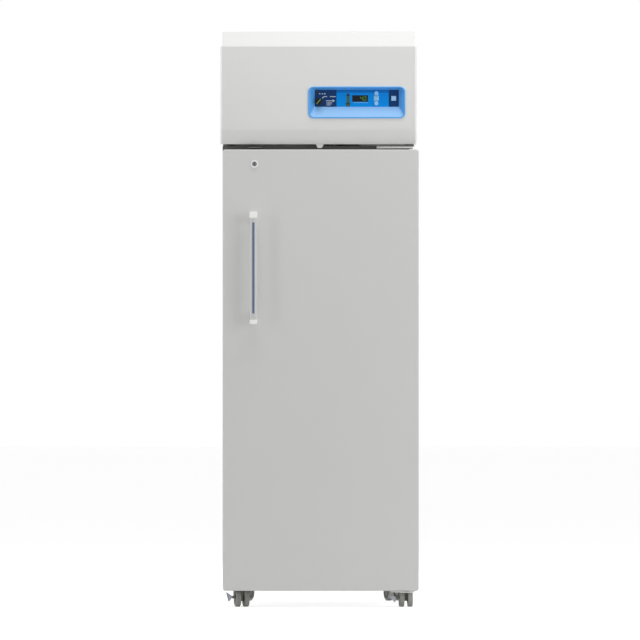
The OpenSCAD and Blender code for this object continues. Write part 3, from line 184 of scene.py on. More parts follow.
class Finish:
    """A procedural material around one Principled shader, with constants for its sockets."""

    def __init__(self, name, **constants):
        self.material = bpy.data.materials.new(name)
        self.material.use_nodes = True
        self.tree = self.material.node_tree
        self.shader = next(n for n in self.tree.nodes if n.type == "BSDF_PRINCIPLED")
        for key, value in constants.items():
            self.feed(key.replace("_", " ").title().replace("Ior", "IOR"), value)
        self.place = self.node("ShaderNodeTexCoord", output="Object")

    def node(self, kind, settings=None, inputs=None, output=0):
        """Adds a node: its settings first, then the values or links of its sockets."""
        made = self.tree.nodes.new(kind)
        for key, value in (settings or {}).items():
            setattr(made, key, value)
        for key, value in (inputs or {}).items():
            self.connect(made.inputs[key], value)
        return Socket(self, made.outputs[output])

    def connect(self, entry, value):
        """Links a socket to another one, or gives it a value."""
        if isinstance(value, Socket):
            self.tree.links.new(value.socket, entry)
        else:
            entry.default_value = value

    def feed(self, label, value):
        self.connect(self.shader.inputs[label], value)

    def noise(self, scale, detail=2.0, place=None):
        return self.node("ShaderNodeTexNoise", {"noise_dimensions": "3D"},
                         {"Vector": place or self.place, "Scale": scale, "Detail": detail})

    def blend(self, factor, first, second):
        """Mixes two colours."""
        return self.node("ShaderNodeMix", {"data_type": "RGBA"},
                         {MIX_FACTOR: factor, MIX_FIRST: first, MIX_SECOND: second}, MIX_RESULT)

    def drifting(self, factor, colour, darker, lighter):
        """A colour that wanders between two shades of itself."""
        return self.blend(factor, shade(colour, darker), shade(colour, lighter))

    def axis(self, index, vector=None):
        return self.node("ShaderNodeSeparateXYZ", None, {0: vector or self.place}, index)

    def stretched(self, scale):
        return self.node("ShaderNodeMapping", None, {"Vector": self.place, "Scale": scale})

    def relief(self, height, depth, strength=0.6):
        self.feed("Normal", self.node("ShaderNodeBump", None,
                                      {"Height": height, "Distance": depth, "Strength": strength}))


def shade(colour, factor):
    return tuple(min(1.0, c * factor) for c in colour[:3]) + (1.0,)


def grained(name, colour, roughness, grain=1400, depth=2e-5, drift=0.05, patch=6.0, gloss=0.08, **constants):
    """A finish whose colour and gloss drift a little and whose surface has a fine grain."""
    finish = Finish(name, **constants)
    wide = finish.noise(patch, 3)
    fine = finish.noise(grain)
    finish.feed("Base Color", finish.drifting(wide, colour, 1 - drift, 1 + drift))
    finish.feed("Roughness", roughness - gloss / 2 + wide * (gloss / 2) + fine * (gloss / 2))
    finish.relief(fine, depth)
    return finish


def rolled_metal(name, colour, roughness, direction=(1, 1, 0.04), drift=0.14, gloss=0.16):
    """Bare or plated metal with rolling marks along one axis."""
    finish = Finish(name, metallic=1.0)
    marks = finish.noise(900, 3, finish.stretched(direction))
    wide = finish.noise(14, 3)
    finish.feed("Base Color", finish.drifting(wide, colour, 1 - drift, 1 + drift))
    finish.feed("Roughness", roughness + marks * gloss - gloss / 2)
    finish.relief(marks, 1.5e-5, 0.4)
    return finish


def cellular(name, colour, roughness, cell=420, depth=6e-5, gloss=0.08):
    """A finish with small rounded cells, such as a leather grain or foam."""
    finish = Finish(name)
    cells = finish.node("ShaderNodeTexVoronoi", None, {"Vector": finish.place, "Scale": cell}, "Distance")
    wide = finish.noise(5, 3)
    finish.feed("Base Color", finish.drifting(wide, colour, 0.96, 1.03))
    finish.feed("Roughness", roughness + wide * gloss - gloss / 2)
    finish.relief(cells, depth)
    return finish


def ribbed(name, colour, roughness, period, direction="X", depth=2e-4, gloss=0.06, **constants):
    """A finish with straight ribs across one axis."""
    finish = Finish(name, **constants)
    ribs = finish.node("ShaderNodeTexWave", {"bands_direction": direction},
                       {"Vector": finish.place, "Scale": RIB_PERIOD / period}, "Fac")
    wide = finish.noise(6, 3)
    finish.feed("Base Color", finish.drifting(wide, colour, 0.95, 1.03))
    finish.feed("Roughness", roughness + wide * gloss - gloss / 2)
    finish.relief(ribs, depth)
    return finish


def moulded_blue(looks):
    """The bezel's plastic, with painted light: paler where it faces up, on the slope under the control plate
    and on the top of the rim, as if lit from above.
    """
    finish = Finish("bezel_blue", specular_ior_level=0.3)
    slope, top_light_share, painted_top_light = 0.3, 0.4, srgb(190, 224, 250)
    up = finish.axis(2, finish.node("ShaderNodeNewGeometry", output="Normal"))
    wide = finish.noise(12, 2)
    plain = finish.drifting(wide, looks.bezel_blue, 0.97, 1.03)
    # painted light: faces that point up are mixed towards a pale blue, which stands in for the light from
    # above
    finish.feed("Base Color", finish.blend((up > slope) * top_light_share, plain, painted_top_light))
    finish.feed("Roughness", 0.36 + wide * 0.08)
    finish.relief(finish.noise(2600), 1e-5)
    return finish


def case_paint(looks):
    """The cabinet's enamel, with painted shade: the front flange that shows over the door is dark grey,
    which stands in for the shadow in the door's gap.
    """
    finish = grained("cabinet_paint", looks.door_paint, 0.4, 900, 2e-5, 0.02, 2.0)
    # painted shade: the faces in the case's front plane take the dark grey
    flange_shade = finish.axis(1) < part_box("outer_case")[0].y + 0.4 * MM
    light = finish.drifting(finish.noise(2.0, 3), looks.door_paint, 0.98, 1.02)
    finish.feed("Base Color", finish.blend(flange_shade, light, DOOR_GAP_SHADE_GREY))
    return finish


def faceplate_film(looks):
    """Printed film: a blue middle between two navy ends, and a fine texture, with a painted shadow: the top
    of the blue middle is darkened where the bezel's top rim would shade it.
    """
    finish = Finish("faceplate_film", specular_ior_level=0.15)
    middle_from, middle_to, shadow_height, shadow_share = 52.5 * MM, 215.0 * MM, 8.7 * MM, 0.5
    across = finish.axis(0)
    middle = (across > middle_from) * (across < middle_to)
    # painted shadow of the bezel's top rim: a band along the top of the blue middle, mixed halfway to navy
    painted_shadow = middle * (finish.axis(2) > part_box("control_faceplate")[1].z - shadow_height)
    wide = finish.noise(30, 2)
    ends = finish.drifting(wide, looks.plate_navy, 0.85, 1.2)
    blue = finish.drifting(wide, looks.plate_blue, 0.94, 1.06)
    blue = finish.blend(painted_shadow * shadow_share, blue, looks.plate_navy)
    finish.feed("Base Color", finish.blend(middle, ends, blue))
    finish.feed("Roughness", 0.3 + wide * 0.08)
    finish.relief(finish.noise(4000), 8e-6)
    return finish


def make_finishes(looks):
    """All the materials of the refrigerator, by slot or use."""
    # name: colour, roughness, grain, depth, drift, patch
    grained_rows = {
        "cabinet_paint": (looks.door_paint, 0.4, 900, 2e-5, 0.02, 2.0),
        # painted shade: the dark grey of the door's gap, for the flange and the lock keeper
        "door_gap_shade_paint": (DOOR_GAP_SHADE_GREY, 0.45, 900, 2e-5, 0.03, 8.0),
        "door_paint": (looks.door_paint, 0.42, 900, 2e-5, 0.018, 1.6),
        "fascia_paint": (looks.fascia_paint, 0.4, 900, 2e-5, 0.015, 2.2),
        "white_nylon": (srgb(252, 252, 250), 0.45, 1800),
        "handle_plastic": (looks.grip_grey, 0.38, 2200, 2e-5, 0.015, 8.0),
        "handle_insert": (srgb(92, 108, 140), 0.34, 2600, 1e-5, 0.08, 40.0),
        "display_black": (srgb(12, 18, 22), 0.3, 3000, 4e-6, 0.1, 30.0),
        "key_blue": (srgb(160, 214, 255), 0.4, 3000, 1e-5, 0.04, 60.0),
        "panel_print": (srgb(206, 214, 228), 0.5, 4000, 6e-6, 0.03, 60.0),
        "rule_blue": (srgb(120, 196, 246), 0.5, 4000, 6e-6, 0.03, 60.0),
        "digit_green": (srgb(90, 150, 60), 0.5, 3000, 4e-6),
        "icon_dark": (srgb(18, 32, 44), 0.45, 4000, 6e-6, 0.1, 60.0),
        "icon_olive": (srgb(72, 96, 26), 0.45, 4000, 6e-6, 0.1, 60.0),
        "black_plastic": (srgb(20, 22, 24), 0.45, 2200, 3e-5, 0.12, 20.0),
        "key_head": (srgb(120, 146, 60), 0.4, 2600, 1e-5, 0.06, 60.0),
        "black_enamel": (srgb(22, 23, 25), 0.3, 700, 4e-5, 0.15, 16.0),
        "shelf_coating": (srgb(232, 233, 232), 0.32, 1200, 3e-5, 0.03, 9.0),
        "clear_bottle": (srgb(226, 240, 244), 0.08, 600, 2e-5, 0.02, 20.0),
        "caster_metal": (srgb(126, 126, 120), 0.5, 1200, 4e-5, 0.12, 30.0),
        "wheel_tread": (srgb(168, 167, 161), 0.62, 1600, 6e-5, 0.1, 50.0),
        "wheel_hub": (srgb(104, 104, 100), 0.45, 1600, 3e-5, 0.1, 50.0),
    }
    # name: colour, roughness, direction, drift
    rolled_metal_rows = {
        "plated_steel": (srgb(196, 198, 196), 0.38),
        "bright_steel": (srgb(214, 216, 218), 0.22, (1, 0.04, 1), 0.06),
        "lock_metal": (srgb(120, 120, 118), 0.4, (1, 0.1, 1)),
        "key_steel": (srgb(132, 140, 118), 0.4, (1, 0.2, 1), 0.1),
        "copper_and_fins": (srgb(196, 122, 84), 0.34, (1, 1, 1), 0.2),
        "fin_aluminium": (srgb(206, 208, 210), 0.36, (1, 1, 0.1), 0.08),
        "race_metal": (srgb(170, 176, 196), 0.35, (1, 1, 0.2), 0.1),
        "pedal_metal": (srgb(150, 154, 162), 0.38, (1, 0.2, 1), 0.12),
    }
    # name: colour, roughness, cell, depth
    cellular_rows = {
        "cap_plastic": (srgb(252, 252, 252), 0.42, 900, 3e-5),
        "foam": (srgb(228, 206, 150), 0.85, 700, 4e-4),
        "liner_plastic": (srgb(240, 240, 238), 0.4, 1100, 3e-5),
    }
    # name: colour, roughness, period, direction, depth
    ribbed_rows = {
        "gasket_rubber": (srgb(222, 222, 218), 0.6, 0.004, "Y", 3e-4),
        "light_diffuser": (srgb(246, 248, 250), 0.3, 0.005, "X", 4e-4),
    }
    constants = {
        "display_black": {"specular_ior_level": 0.2},
        "black_plastic": {"specular_ior_level": 0.3},
        "black_enamel": {"coat_weight": 0.4, "coat_roughness": 0.2},
        "digit_green": {"emission_color": srgb(110, 190, 70), "emission_strength": 0.12},
        "light_diffuser": {"emission_color": WHITE, "emission_strength": 0.15},
        "clear_bottle": {"transmission_weight": 0.9, "ior": 1.45},
    }
    finishes = {name: kind(name, *values, **constants.get(name, {}))
                for kind, rows in ((grained, grained_rows), (rolled_metal, rolled_metal_rows),
                                   (cellular, cellular_rows), (ribbed, ribbed_rows))
                for name, values in rows.items()}
    finishes.update(case_paint=case_paint(looks), bezel_blue=moulded_blue(looks),
                    faceplate_film=faceplate_film(looks))
    return finishes


# Filled by main() before the operators run.
FINISHES = {}


# --- mesh tools ---


def is_sharp(edge, limit=SHARP_ANGLE):
    return len(edge.link_faces) == 2 and edge.calc_face_angle(0) > math.radians(limit)


def on_plane(edge, axis, at):
    """Whether an edge lies in the plane across an axis."""
    return all(abs(v.co[axis] - at) < TOUCH for v in edge.verts)


def bevel(bm, edges, width, steps, clamp=True):
    bmesh.ops.bevel(bm, geom=edges, offset=width, offset_type="OFFSET", segments=steps, profile=0.5,
                    affect="EDGES", clamp_overlap=clamp, material=-1)


def round_edges(bm, width, steps=2, pick=None, clamp=True):
    """Rounds the sharp edges that pick chooses, or all of them."""
    edges = [e for e in bm.edges if is_sharp(e) and (pick is None or pick(e))]
    if edges:
        bevel(bm, edges, width, steps, clamp)
    return bm


def box(low, high, radius=0.0, axis=1, edge=0.0, corner_steps=6, edge_steps=2):
    """A closed box whose edges along an axis get a radius, and the rest a small round."""
    bm = bmesh.new()
    bmesh.ops.create_cube(bm, size=1.0)
    low, high = Vector(low), Vector(high)
    bmesh.ops.scale(bm, vec=high - low, verts=bm.verts)
    bmesh.ops.translate(bm, vec=(low + high) / 2, verts=bm.verts)
    if radius:
        along = [e for e in bm.edges
                 if abs((e.verts[0].co - e.verts[1].co).normalized()[axis]) > PARALLEL]
        bevel(bm, along, radius, corner_steps)
    if edge:
        round_edges(bm, edge, edge_steps)
    return bm


def rod(start, end, diameter, steps=12, edge=0.0):
    """A closed round bar from one point to another."""
    start, end = Vector(start), Vector(end)
    bm = bmesh.new()
    bmesh.ops.create_cone(bm, cap_ends=True, cap_tris=False, segments=steps, radius1=diameter / 2,
                          radius2=diameter / 2, depth=(end - start).length)
    turn = Z.rotation_difference(end - start).to_matrix()
    bmesh.ops.rotate(bm, matrix=turn, verts=bm.verts)
    bmesh.ops.translate(bm, vec=(start + end) / 2, verts=bm.verts)
    if edge:
        round_edges(bm, edge, clamp=False)
    return bm


def mm(*pairs):
    """A profile for turned, given in millimetres."""
    return [(radius * MM, distance * MM) for radius, distance in pairs]


def turned(profile, centre, axis, steps=48, closed=False):
    """A body of revolution from (radius, distance along the axis) pairs."""
    bm = bmesh.new()
    axis = Vector(axis).normalized()
    side = axis.orthogonal().normalized()
    verts = [bm.verts.new(Vector(centre) + side * r + axis * h) for r, h in profile]
    edges = [bm.edges.new(pair) for pair in zip(verts, verts[1:] + (verts[:1] if closed else []))]
    bmesh.ops.spin(bm, geom=verts + edges, cent=centre, axis=axis, angle=2 * math.pi, steps=steps,
                   use_merge=True, use_duplicate=False)
    bmesh.ops.remove_doubles(bm, verts=bm.verts, dist=WELD)
    bmesh.ops.recalc_face_normals(bm, faces=bm.faces)
    return bm


def pipe(points, diameter, bend, steps=14, turns=6):
    """A round tube along a path whose corners are bent to a radius."""
    points = [Vector(point) for point in points]
    path = [points[0]]
    for before, corner, after in zip(points, points[1:], points[2:]):
        first, second = (before - corner).normalized(), (after - corner).normalized()
        half = first.angle(second) / 2
        centre = corner + (first + second).normalized() * (bend / math.sin(half))
        start = corner + first * (bend / math.tan(half)) - centre
        axis = first.cross(second)
        for k in range(turns + 1):
            path.append(centre + Matrix.Rotation(-(math.pi - 2 * half) * k / turns, 3, axis) @ start)
    path.append(points[-1])
    bm = bmesh.new()
    side = (path[1] - path[0]).orthogonal().normalized()
    rings = []
    for index, point in enumerate(path):
        ahead = path[min(index + 1, len(path) - 1)] - path[max(index - 1, 0)]
        side = (side - ahead.normalized() * side.dot(ahead.normalized())).normalized()
        turn = [Matrix.Rotation(2 * math.pi * k / steps, 3, ahead) for k in range(steps)]
        rings.append([bm.verts.new(point + matrix @ side * diameter / 2) for matrix in turn])
    for low, high in zip(rings, rings[1:]):
        for k in range(steps):
            bm.faces.new((low[k], low[(k + 1) % steps], high[(k + 1) % steps], high[k]))
    bm.faces.new(rings[0][::-1])
    bm.faces.new(rings[-1])
    bmesh.ops.recalc_face_normals(bm, faces=bm.faces)
    return bm


def prism(outline, front, back):
    """An outline in X and Z, made solid between two planes across Y."""
    bm = bmesh.new()
    face = bm.faces.new([bm.verts.new((x, front, z)) for x, z in outline])
    made = bmesh.ops.extrude_face_region(bm, geom=[face])["geom"]
    rear = [g for g in made if isinstance(g, bmesh.types.BMVert)]
    bmesh.ops.translate(bm, vec=Y * (back - front), verts=rear)
    bmesh.ops.recalc_face_normals(bm, faces=bm.faces)
    return bm


def merged(parts):
    """One bmesh that holds several."""
    whole = bmesh.new()
    for part in parts:
        mesh = bpy.data.meshes.new("part")
        part.to_mesh(mesh)
        part.free()
        whole.from_mesh(mesh)
        bpy.data.meshes.remove(mesh)
    return whole


def moved(bm, matrix):
    bmesh.ops.transform(bm, matrix=matrix, verts=bm.verts)
    return bm


def cad_copy(node):
    """A merged copy of a CAD node's mesh with its flat faces whole again."""
    bm = bmesh.new()
    bm.from_mesh(NODES[node].data)
    bmesh.ops.remove_doubles(bm, verts=bm.verts, dist=WELD)
    bmesh.ops.dissolve_limit(bm, angle_limit=math.radians(FLAT_ANGLE), verts=bm.verts[:],
                             edges=bm.edges[:])
    return bm


def place(name, bm, body, slot, replaces=(), smooth=SMOOTH_ANGLE, finish=None):
    """Makes a bmesh a finished piece that rides on a body."""
    mesh = bpy.data.meshes.new(name)
    bm.to_mesh(mesh)
    bm.free()
    piece = bpy.data.objects.new(name, mesh)
    bpy.context.scene.collection.objects.link(piece)
    mesh.materials.append(FINISHES[finish or slot].material)
    mesh.polygons.foreach_set("use_smooth", [True] * len(mesh.polygons))
    mesh.set_sharp_from_angle(angle=math.radians(smooth))
    weighted = piece.modifiers.new("weighted", "WEIGHTED_NORMAL")
    weighted.keep_sharp = True
    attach(piece, body)
    if replaces:
        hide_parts(*replaces)
    return piece


def dress(slot, *names):
    """Gives CAD nodes their finish."""
    for name in names:
        materials = NODES[name].data.materials
        materials.clear()
        materials.append(FINISHES[slot].material)


def body_of(node):
    return NODES[node]["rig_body"]


def softened(node, slot, width, steps=2, pick=None, finish=None):
    """Replaces a CAD node by its own shape with rounded edges."""
    bm = round_edges(cad_copy(node), width, steps, pick)
    return place(node + "_looks", bm, body_of(node), slot, (node,), finish=finish)


def joint(name):
    """The place of a joint and its axis."""
    found = next(j for j in frame["joints"] if j["name"] == name)
    return Vector(found["pos_m"]), Vector(found["axis"]).normalized()


def screws(name, places, axis, diameter, slot, finish="plated_steel", height=1.2 * MM):
    """Pan heads with a cross recess, on a face of the cabinet that looks along axis."""
    radius = diameter / 2
    recess, cross = radius * 0.42, radius * 0.1
    heads = []
    for where in places:
        head = turned([(radius, 0), (radius, height * 0.35), (radius * 0.8, height * 0.85), (recess, height),
                       (radius * 0.4, height * 0.4), (0, height * 0.4)], (0, 0, 0), Z, 20)
        bars = [box((-a, -b, height * 0.2), (a, b, height * 0.97))
                for a, b in ((recess, cross), (cross, recess))]
        turn = Z.rotation_difference(Vector(axis)).to_matrix().to_4x4()
        heads.append(moved(merged([head, *bars]), Matrix.Translation(Vector(where)) @ turn))
    place(name, merged(heads), "cabinet", slot, finish=finish)


def fan(node, blades=5):
    """A fan whose twisted blades grow from a rounded hub, turning about Y."""
    low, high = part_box(node)
    centre = (low + high) / 2
    radius, depth = (high.x - low.x) / 2, high.y - low.y
    hub, bore = radius * 0.29, radius * 0.06
    parts = [turned([(bore, 0), (hub * 0.8, 0), (hub, depth * 0.16), (hub, depth), (bore, depth)],
                    (centre.x, low.y, centre.z), Y, 40, True)]
    root, tip = hub * 0.9, radius * 0.985
    for index in range(blades):
        blade = bmesh.new()
        bmesh.ops.create_grid(blade, x_segments=6, y_segments=10, size=0.5)
        for vert in blade.verts:
            along = vert.co.y + 0.5
            angle = math.radians(42 - 22 * along)
            reach = root + (tip - root) * along
            across = vert.co.x * (radius * (0.42 + 0.5 * along))
            turn = across * math.cos(angle) / max(reach, hub)
            sink = across * math.sin(angle) * 0.62 + radius * 0.03 * math.cos(vert.co.x * math.pi)
            vert.co = Vector((reach * math.sin(turn), sink, reach * math.cos(turn)))
        bmesh.ops.solidify(blade, geom=blade.faces[:], thickness=radius * 0.018)
        spin = Matrix.Rotation(2 * math.pi * index / blades, 4, "Y")
        parts.append(moved(blade, Matrix.Translation(centre) @ spin))
    bm = merged(parts)
    for vert in bm.verts:
        vert.co.y = min(max(vert.co.y, low.y), high.y)
    bmesh.ops.recalc_face_normals(bm, faces=bm.faces)
    place(node + "_looks", bm, body_of(node), "black_plastic", (node,), 40)


# --- cabinet and door ---


class FRIDGE_OT_cabinet(bpy.types.Operator):
    """Outer case, rear, floor, liner and the parts around the opening"""

    bl_idname = "fridge.cabinet"
    bl_label = "Cabinet"

    def execute(self, context):
        low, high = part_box("outer_case")
        liner_low, liner_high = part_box("liner")

        def outer(e):
            """The case's edges along its two sides and its top."""
            return on_plane(e, 2, high.z) or all(
                min(abs(v.co.x - low.x), abs(v.co.x - high.x)) < TOUCH for v in e.verts)

        def inner(e):
            """The edges of the liner's inside, without its mouth."""
            return not on_plane(e, 1, liner_low.y) and all(
                liner_low.x + MM < v.co.x < liner_high.x - MM
                and liner_low.z + MM < v.co.z < liner_high.z - MM for v in e.verts)

        edge = context.scene.refrigerator_looks.sheet_edge * 0.6
        softened("outer_case", "cabinet_paint", edge, 3, outer, finish="case_paint")
        softened("back_panel", "cabinet_paint", 0.5 * MM, 1)
        softened("breaker_frame", "liner_plastic", 1.2 * MM)
        # painted shade: the keeper sits in the shadow of the door's gap, so it takes the dark grey
        softened("lock_keeper", "plated_steel", 0.4 * MM, finish="door_gap_shade_paint")
        softened("liner", "liner_plastic", 9 * MM, 5, inner)
        inset, rear = 9 * MM, high.y + 1.2 * MM
        wide, tall = high.x - low.x, high.z - low.z
        spots = [(x, rear, low.z + tall * k / 6)
                 for x in (low.x + inset, high.x - inset) for k in range(1, 6)]
        spots += [(low.x + wide * k / 4, rear, z)
                  for k in range(1, 4) for z in (low.z + inset, high.z - inset)]
        screws("rear_screws", spots, Y, 8 * MM, "cabinet_paint")
        dress("plated_steel", "base_pan", "caster_plates")
        dress("foam", "insulation")
        return {"FINISHED"}


class FRIDGE_OT_door(bpy.types.Operator):
    """Door shell, inner panel, gasket and hinge bushes"""

    bl_idname = "fridge.door"
    bl_label = "Door"

    def execute(self, context):
        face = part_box("door_skin")[0].y
        lock = (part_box("lock_plug")[0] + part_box("lock_plug")[1]) / 2
        lock_clear = 20 * MM

        def rolled(e):
            """The edges around the door's face, without those of the lock's hole."""
            return on_plane(e, 1, face) and all(
                math.hypot(v.co.x - lock.x, v.co.z - lock.z) > lock_clear for v in e.verts)

        softened("door_skin", "door_paint", context.scene.refrigerator_looks.sheet_edge, 4, rolled)
        softened("door_liner", "liner_plastic", 1.8 * MM, 3)
        softened("door_gasket", "gasket_rubber", 2.8 * MM, 3)
        dress("foam", "door_foam")
        dress("white_nylon", "hinge_bushes")
        return {"FINISHED"}


class FRIDGE_OT_hinges(bpy.types.Operator):
    """Hinge plates with their screws"""

    bl_idname = "fridge.hinges"
    bl_label = "Hinges"

    def execute(self, context):
        case_low, case_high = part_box("outer_case")
        for node, heads, z in (("upper_hinge", 3, case_high.z - 5 * MM),
                               ("lower_hinge", 2, case_low.z + 6 * MM)):
            softened(node, "plated_steel", 0.5 * MM)
            low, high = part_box(node)
            spots = [(low.x + (14 + 34 * k) * MM, high.y - 3.4 * MM, z) for k in range(heads)]
            screws(node + "_screws", spots, -Y, 7.4 * MM, "plated_steel", "bright_steel", 1.6 * MM)
        return {"FINISHED"}


class FRIDGE_OT_handle(bpy.types.Operator):
    """Pull handle: moulded bar, coloured insert and two end mounts"""

    bl_idname = "fridge.handle"
    bl_label = "Handle"

    def execute(self, context):
        low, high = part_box("handle_grip")
        top_cap, bottom_cap = 20 * MM, 14 * MM
        grip = box((low.x + 0.6 * MM, low.y + 0.8 * MM, low.z + bottom_cap),
                   (high.x - 0.6 * MM, high.y, high.z - top_cap), 7 * MM, 2, corner_steps=8)
        place("grip_bar", grip, "door", "handle_plastic", ("handle_grip",))
        strip_low, strip_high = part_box("handle_insert")
        strip = box(strip_low, (strip_high.x, strip_high.y + 1 * MM, strip_high.z), 2.4 * MM, 1, 0.6 * MM, 5)
        place("grip_strip", strip, "door", "handle_insert", ("handle_insert",))
        caps = [box((low.x, low.y, cap_low), (high.x, high.y, cap_high), 4 * MM, 1, 2 * MM, 6, 3)
                for cap_low, cap_high in ((low.z, low.z + bottom_cap), (high.z - top_cap, high.z))]
        arms = round_edges(cad_copy("handle_mounts"), 3 * MM, 3)
        place("handle_ends", merged([*caps, arms]), "door", "white_nylon", ("handle_mounts",))
        return {"FINISHED"}


class FRIDGE_OT_lock(bpy.types.Operator):
    """Door lock: ring, barrel, plug with its marks, and bolt"""

    bl_idname = "fridge.lock"
    bl_label = "Door lock"

    def execute(self, context):
        low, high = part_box("lock_plug")
        centre = (low + high) / 2
        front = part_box("lock_housing")[0].y
        place("lock_case", cad_copy("lock_housing"), "door", "bright_steel", ("lock_housing",))
        ring = turned(mm((7.7, 0.1), (9.4, -0.2), (11.6, 0.5), (12.5, 1.8), (12.5, 2.9), (7.7, 2.9)),
                      (centre.x, front, centre.z), Y, 48, True)
        for vert in ring.verts:
            vert.co.y = max(vert.co.y, low.y)
        place("lock_ring", ring, "door", "bright_steel")
        softened("lock_plug", "lock_metal", 0.5 * MM)
        heights = [centre.z + side * 5.6 * MM for side in (-1, 1)]
        marks = [rod((centre.x, low.y, z), (centre.x, low.y + 0.6 * MM, z), 1.4 * MM) for z in heights]
        place("lock_marks", merged(marks), "lock_plug", "lock_metal", finish="black_plastic")
        softened("lock_bolt", "plated_steel", 0.6 * MM)
        return {"FINISHED"}


class FRIDGE_OT_header(bpy.types.Operator):
    """Fascia with its end caps, machine compartment walls, cover, grille and inlet"""

    bl_idname = "fridge.header"
    bl_label = "Header"

    def execute(self, context):
        softened("fascia_panel", "fascia_paint", 1.2 * MM, 3)
        softened("fascia_end_caps", "cap_plastic", 1.4 * MM, 3)
        for node in ("header_sides", "top_cover", "rear_grille"):
            softened(node, "cabinet_paint", 0.4 * MM, 1)
        low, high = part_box("top_cover")
        inset = 12 * MM
        across = [low.x + (high.x - low.x) * k / 5 for k in range(1, 5)]
        spots = [(x, high.y, high.z - 9 * MM) for x in (low.x + inset, *across, high.x - inset)]
        screws("cover_screws", spots, Y, 7 * MM, "cabinet_paint")
        self.inlet()
        return {"FINISHED"}

    def inlet(self):
        """The mains inlet with its lip, three flat pins and two screws."""
        low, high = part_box("power_inlet")
        centre = (low + high) / 2
        body = round_edges(cad_copy("power_inlet"), 1 * MM, 3, lambda e: on_plane(e, 1, high.y))
        place("inlet_body", body, "cabinet", "black_plastic", ("power_inlet",))
        pins = [box((centre.x + (7 * k - 1.05) * MM, low.y + 7 * MM, centre.z + (lift - 4.05) * MM),
                    (centre.x + (7 * k + 1.05) * MM, high.y - 4.6 * MM, centre.z + (lift + 1.05) * MM),
                    edge=0.4 * MM) for k, lift in ((-1, 0), (0, 4), (1, 0))]
        place("inlet_pins", merged(pins), "cabinet", "black_plastic", finish="bright_steel")
        ears = [(centre.x + side * 19 * MM, high.y - 0.6 * MM, centre.z) for side in (-1, 1)]
        screws("inlet_screws", ears, Y, 5 * MM, "black_plastic")


# --- control panel ---


def picture_x(pixel):
    return (pixel - PICTURE_MIDDLE) * PIXEL


def picture_z(pixel):
    return (PICTURE_FLOOR - pixel) * PIXEL


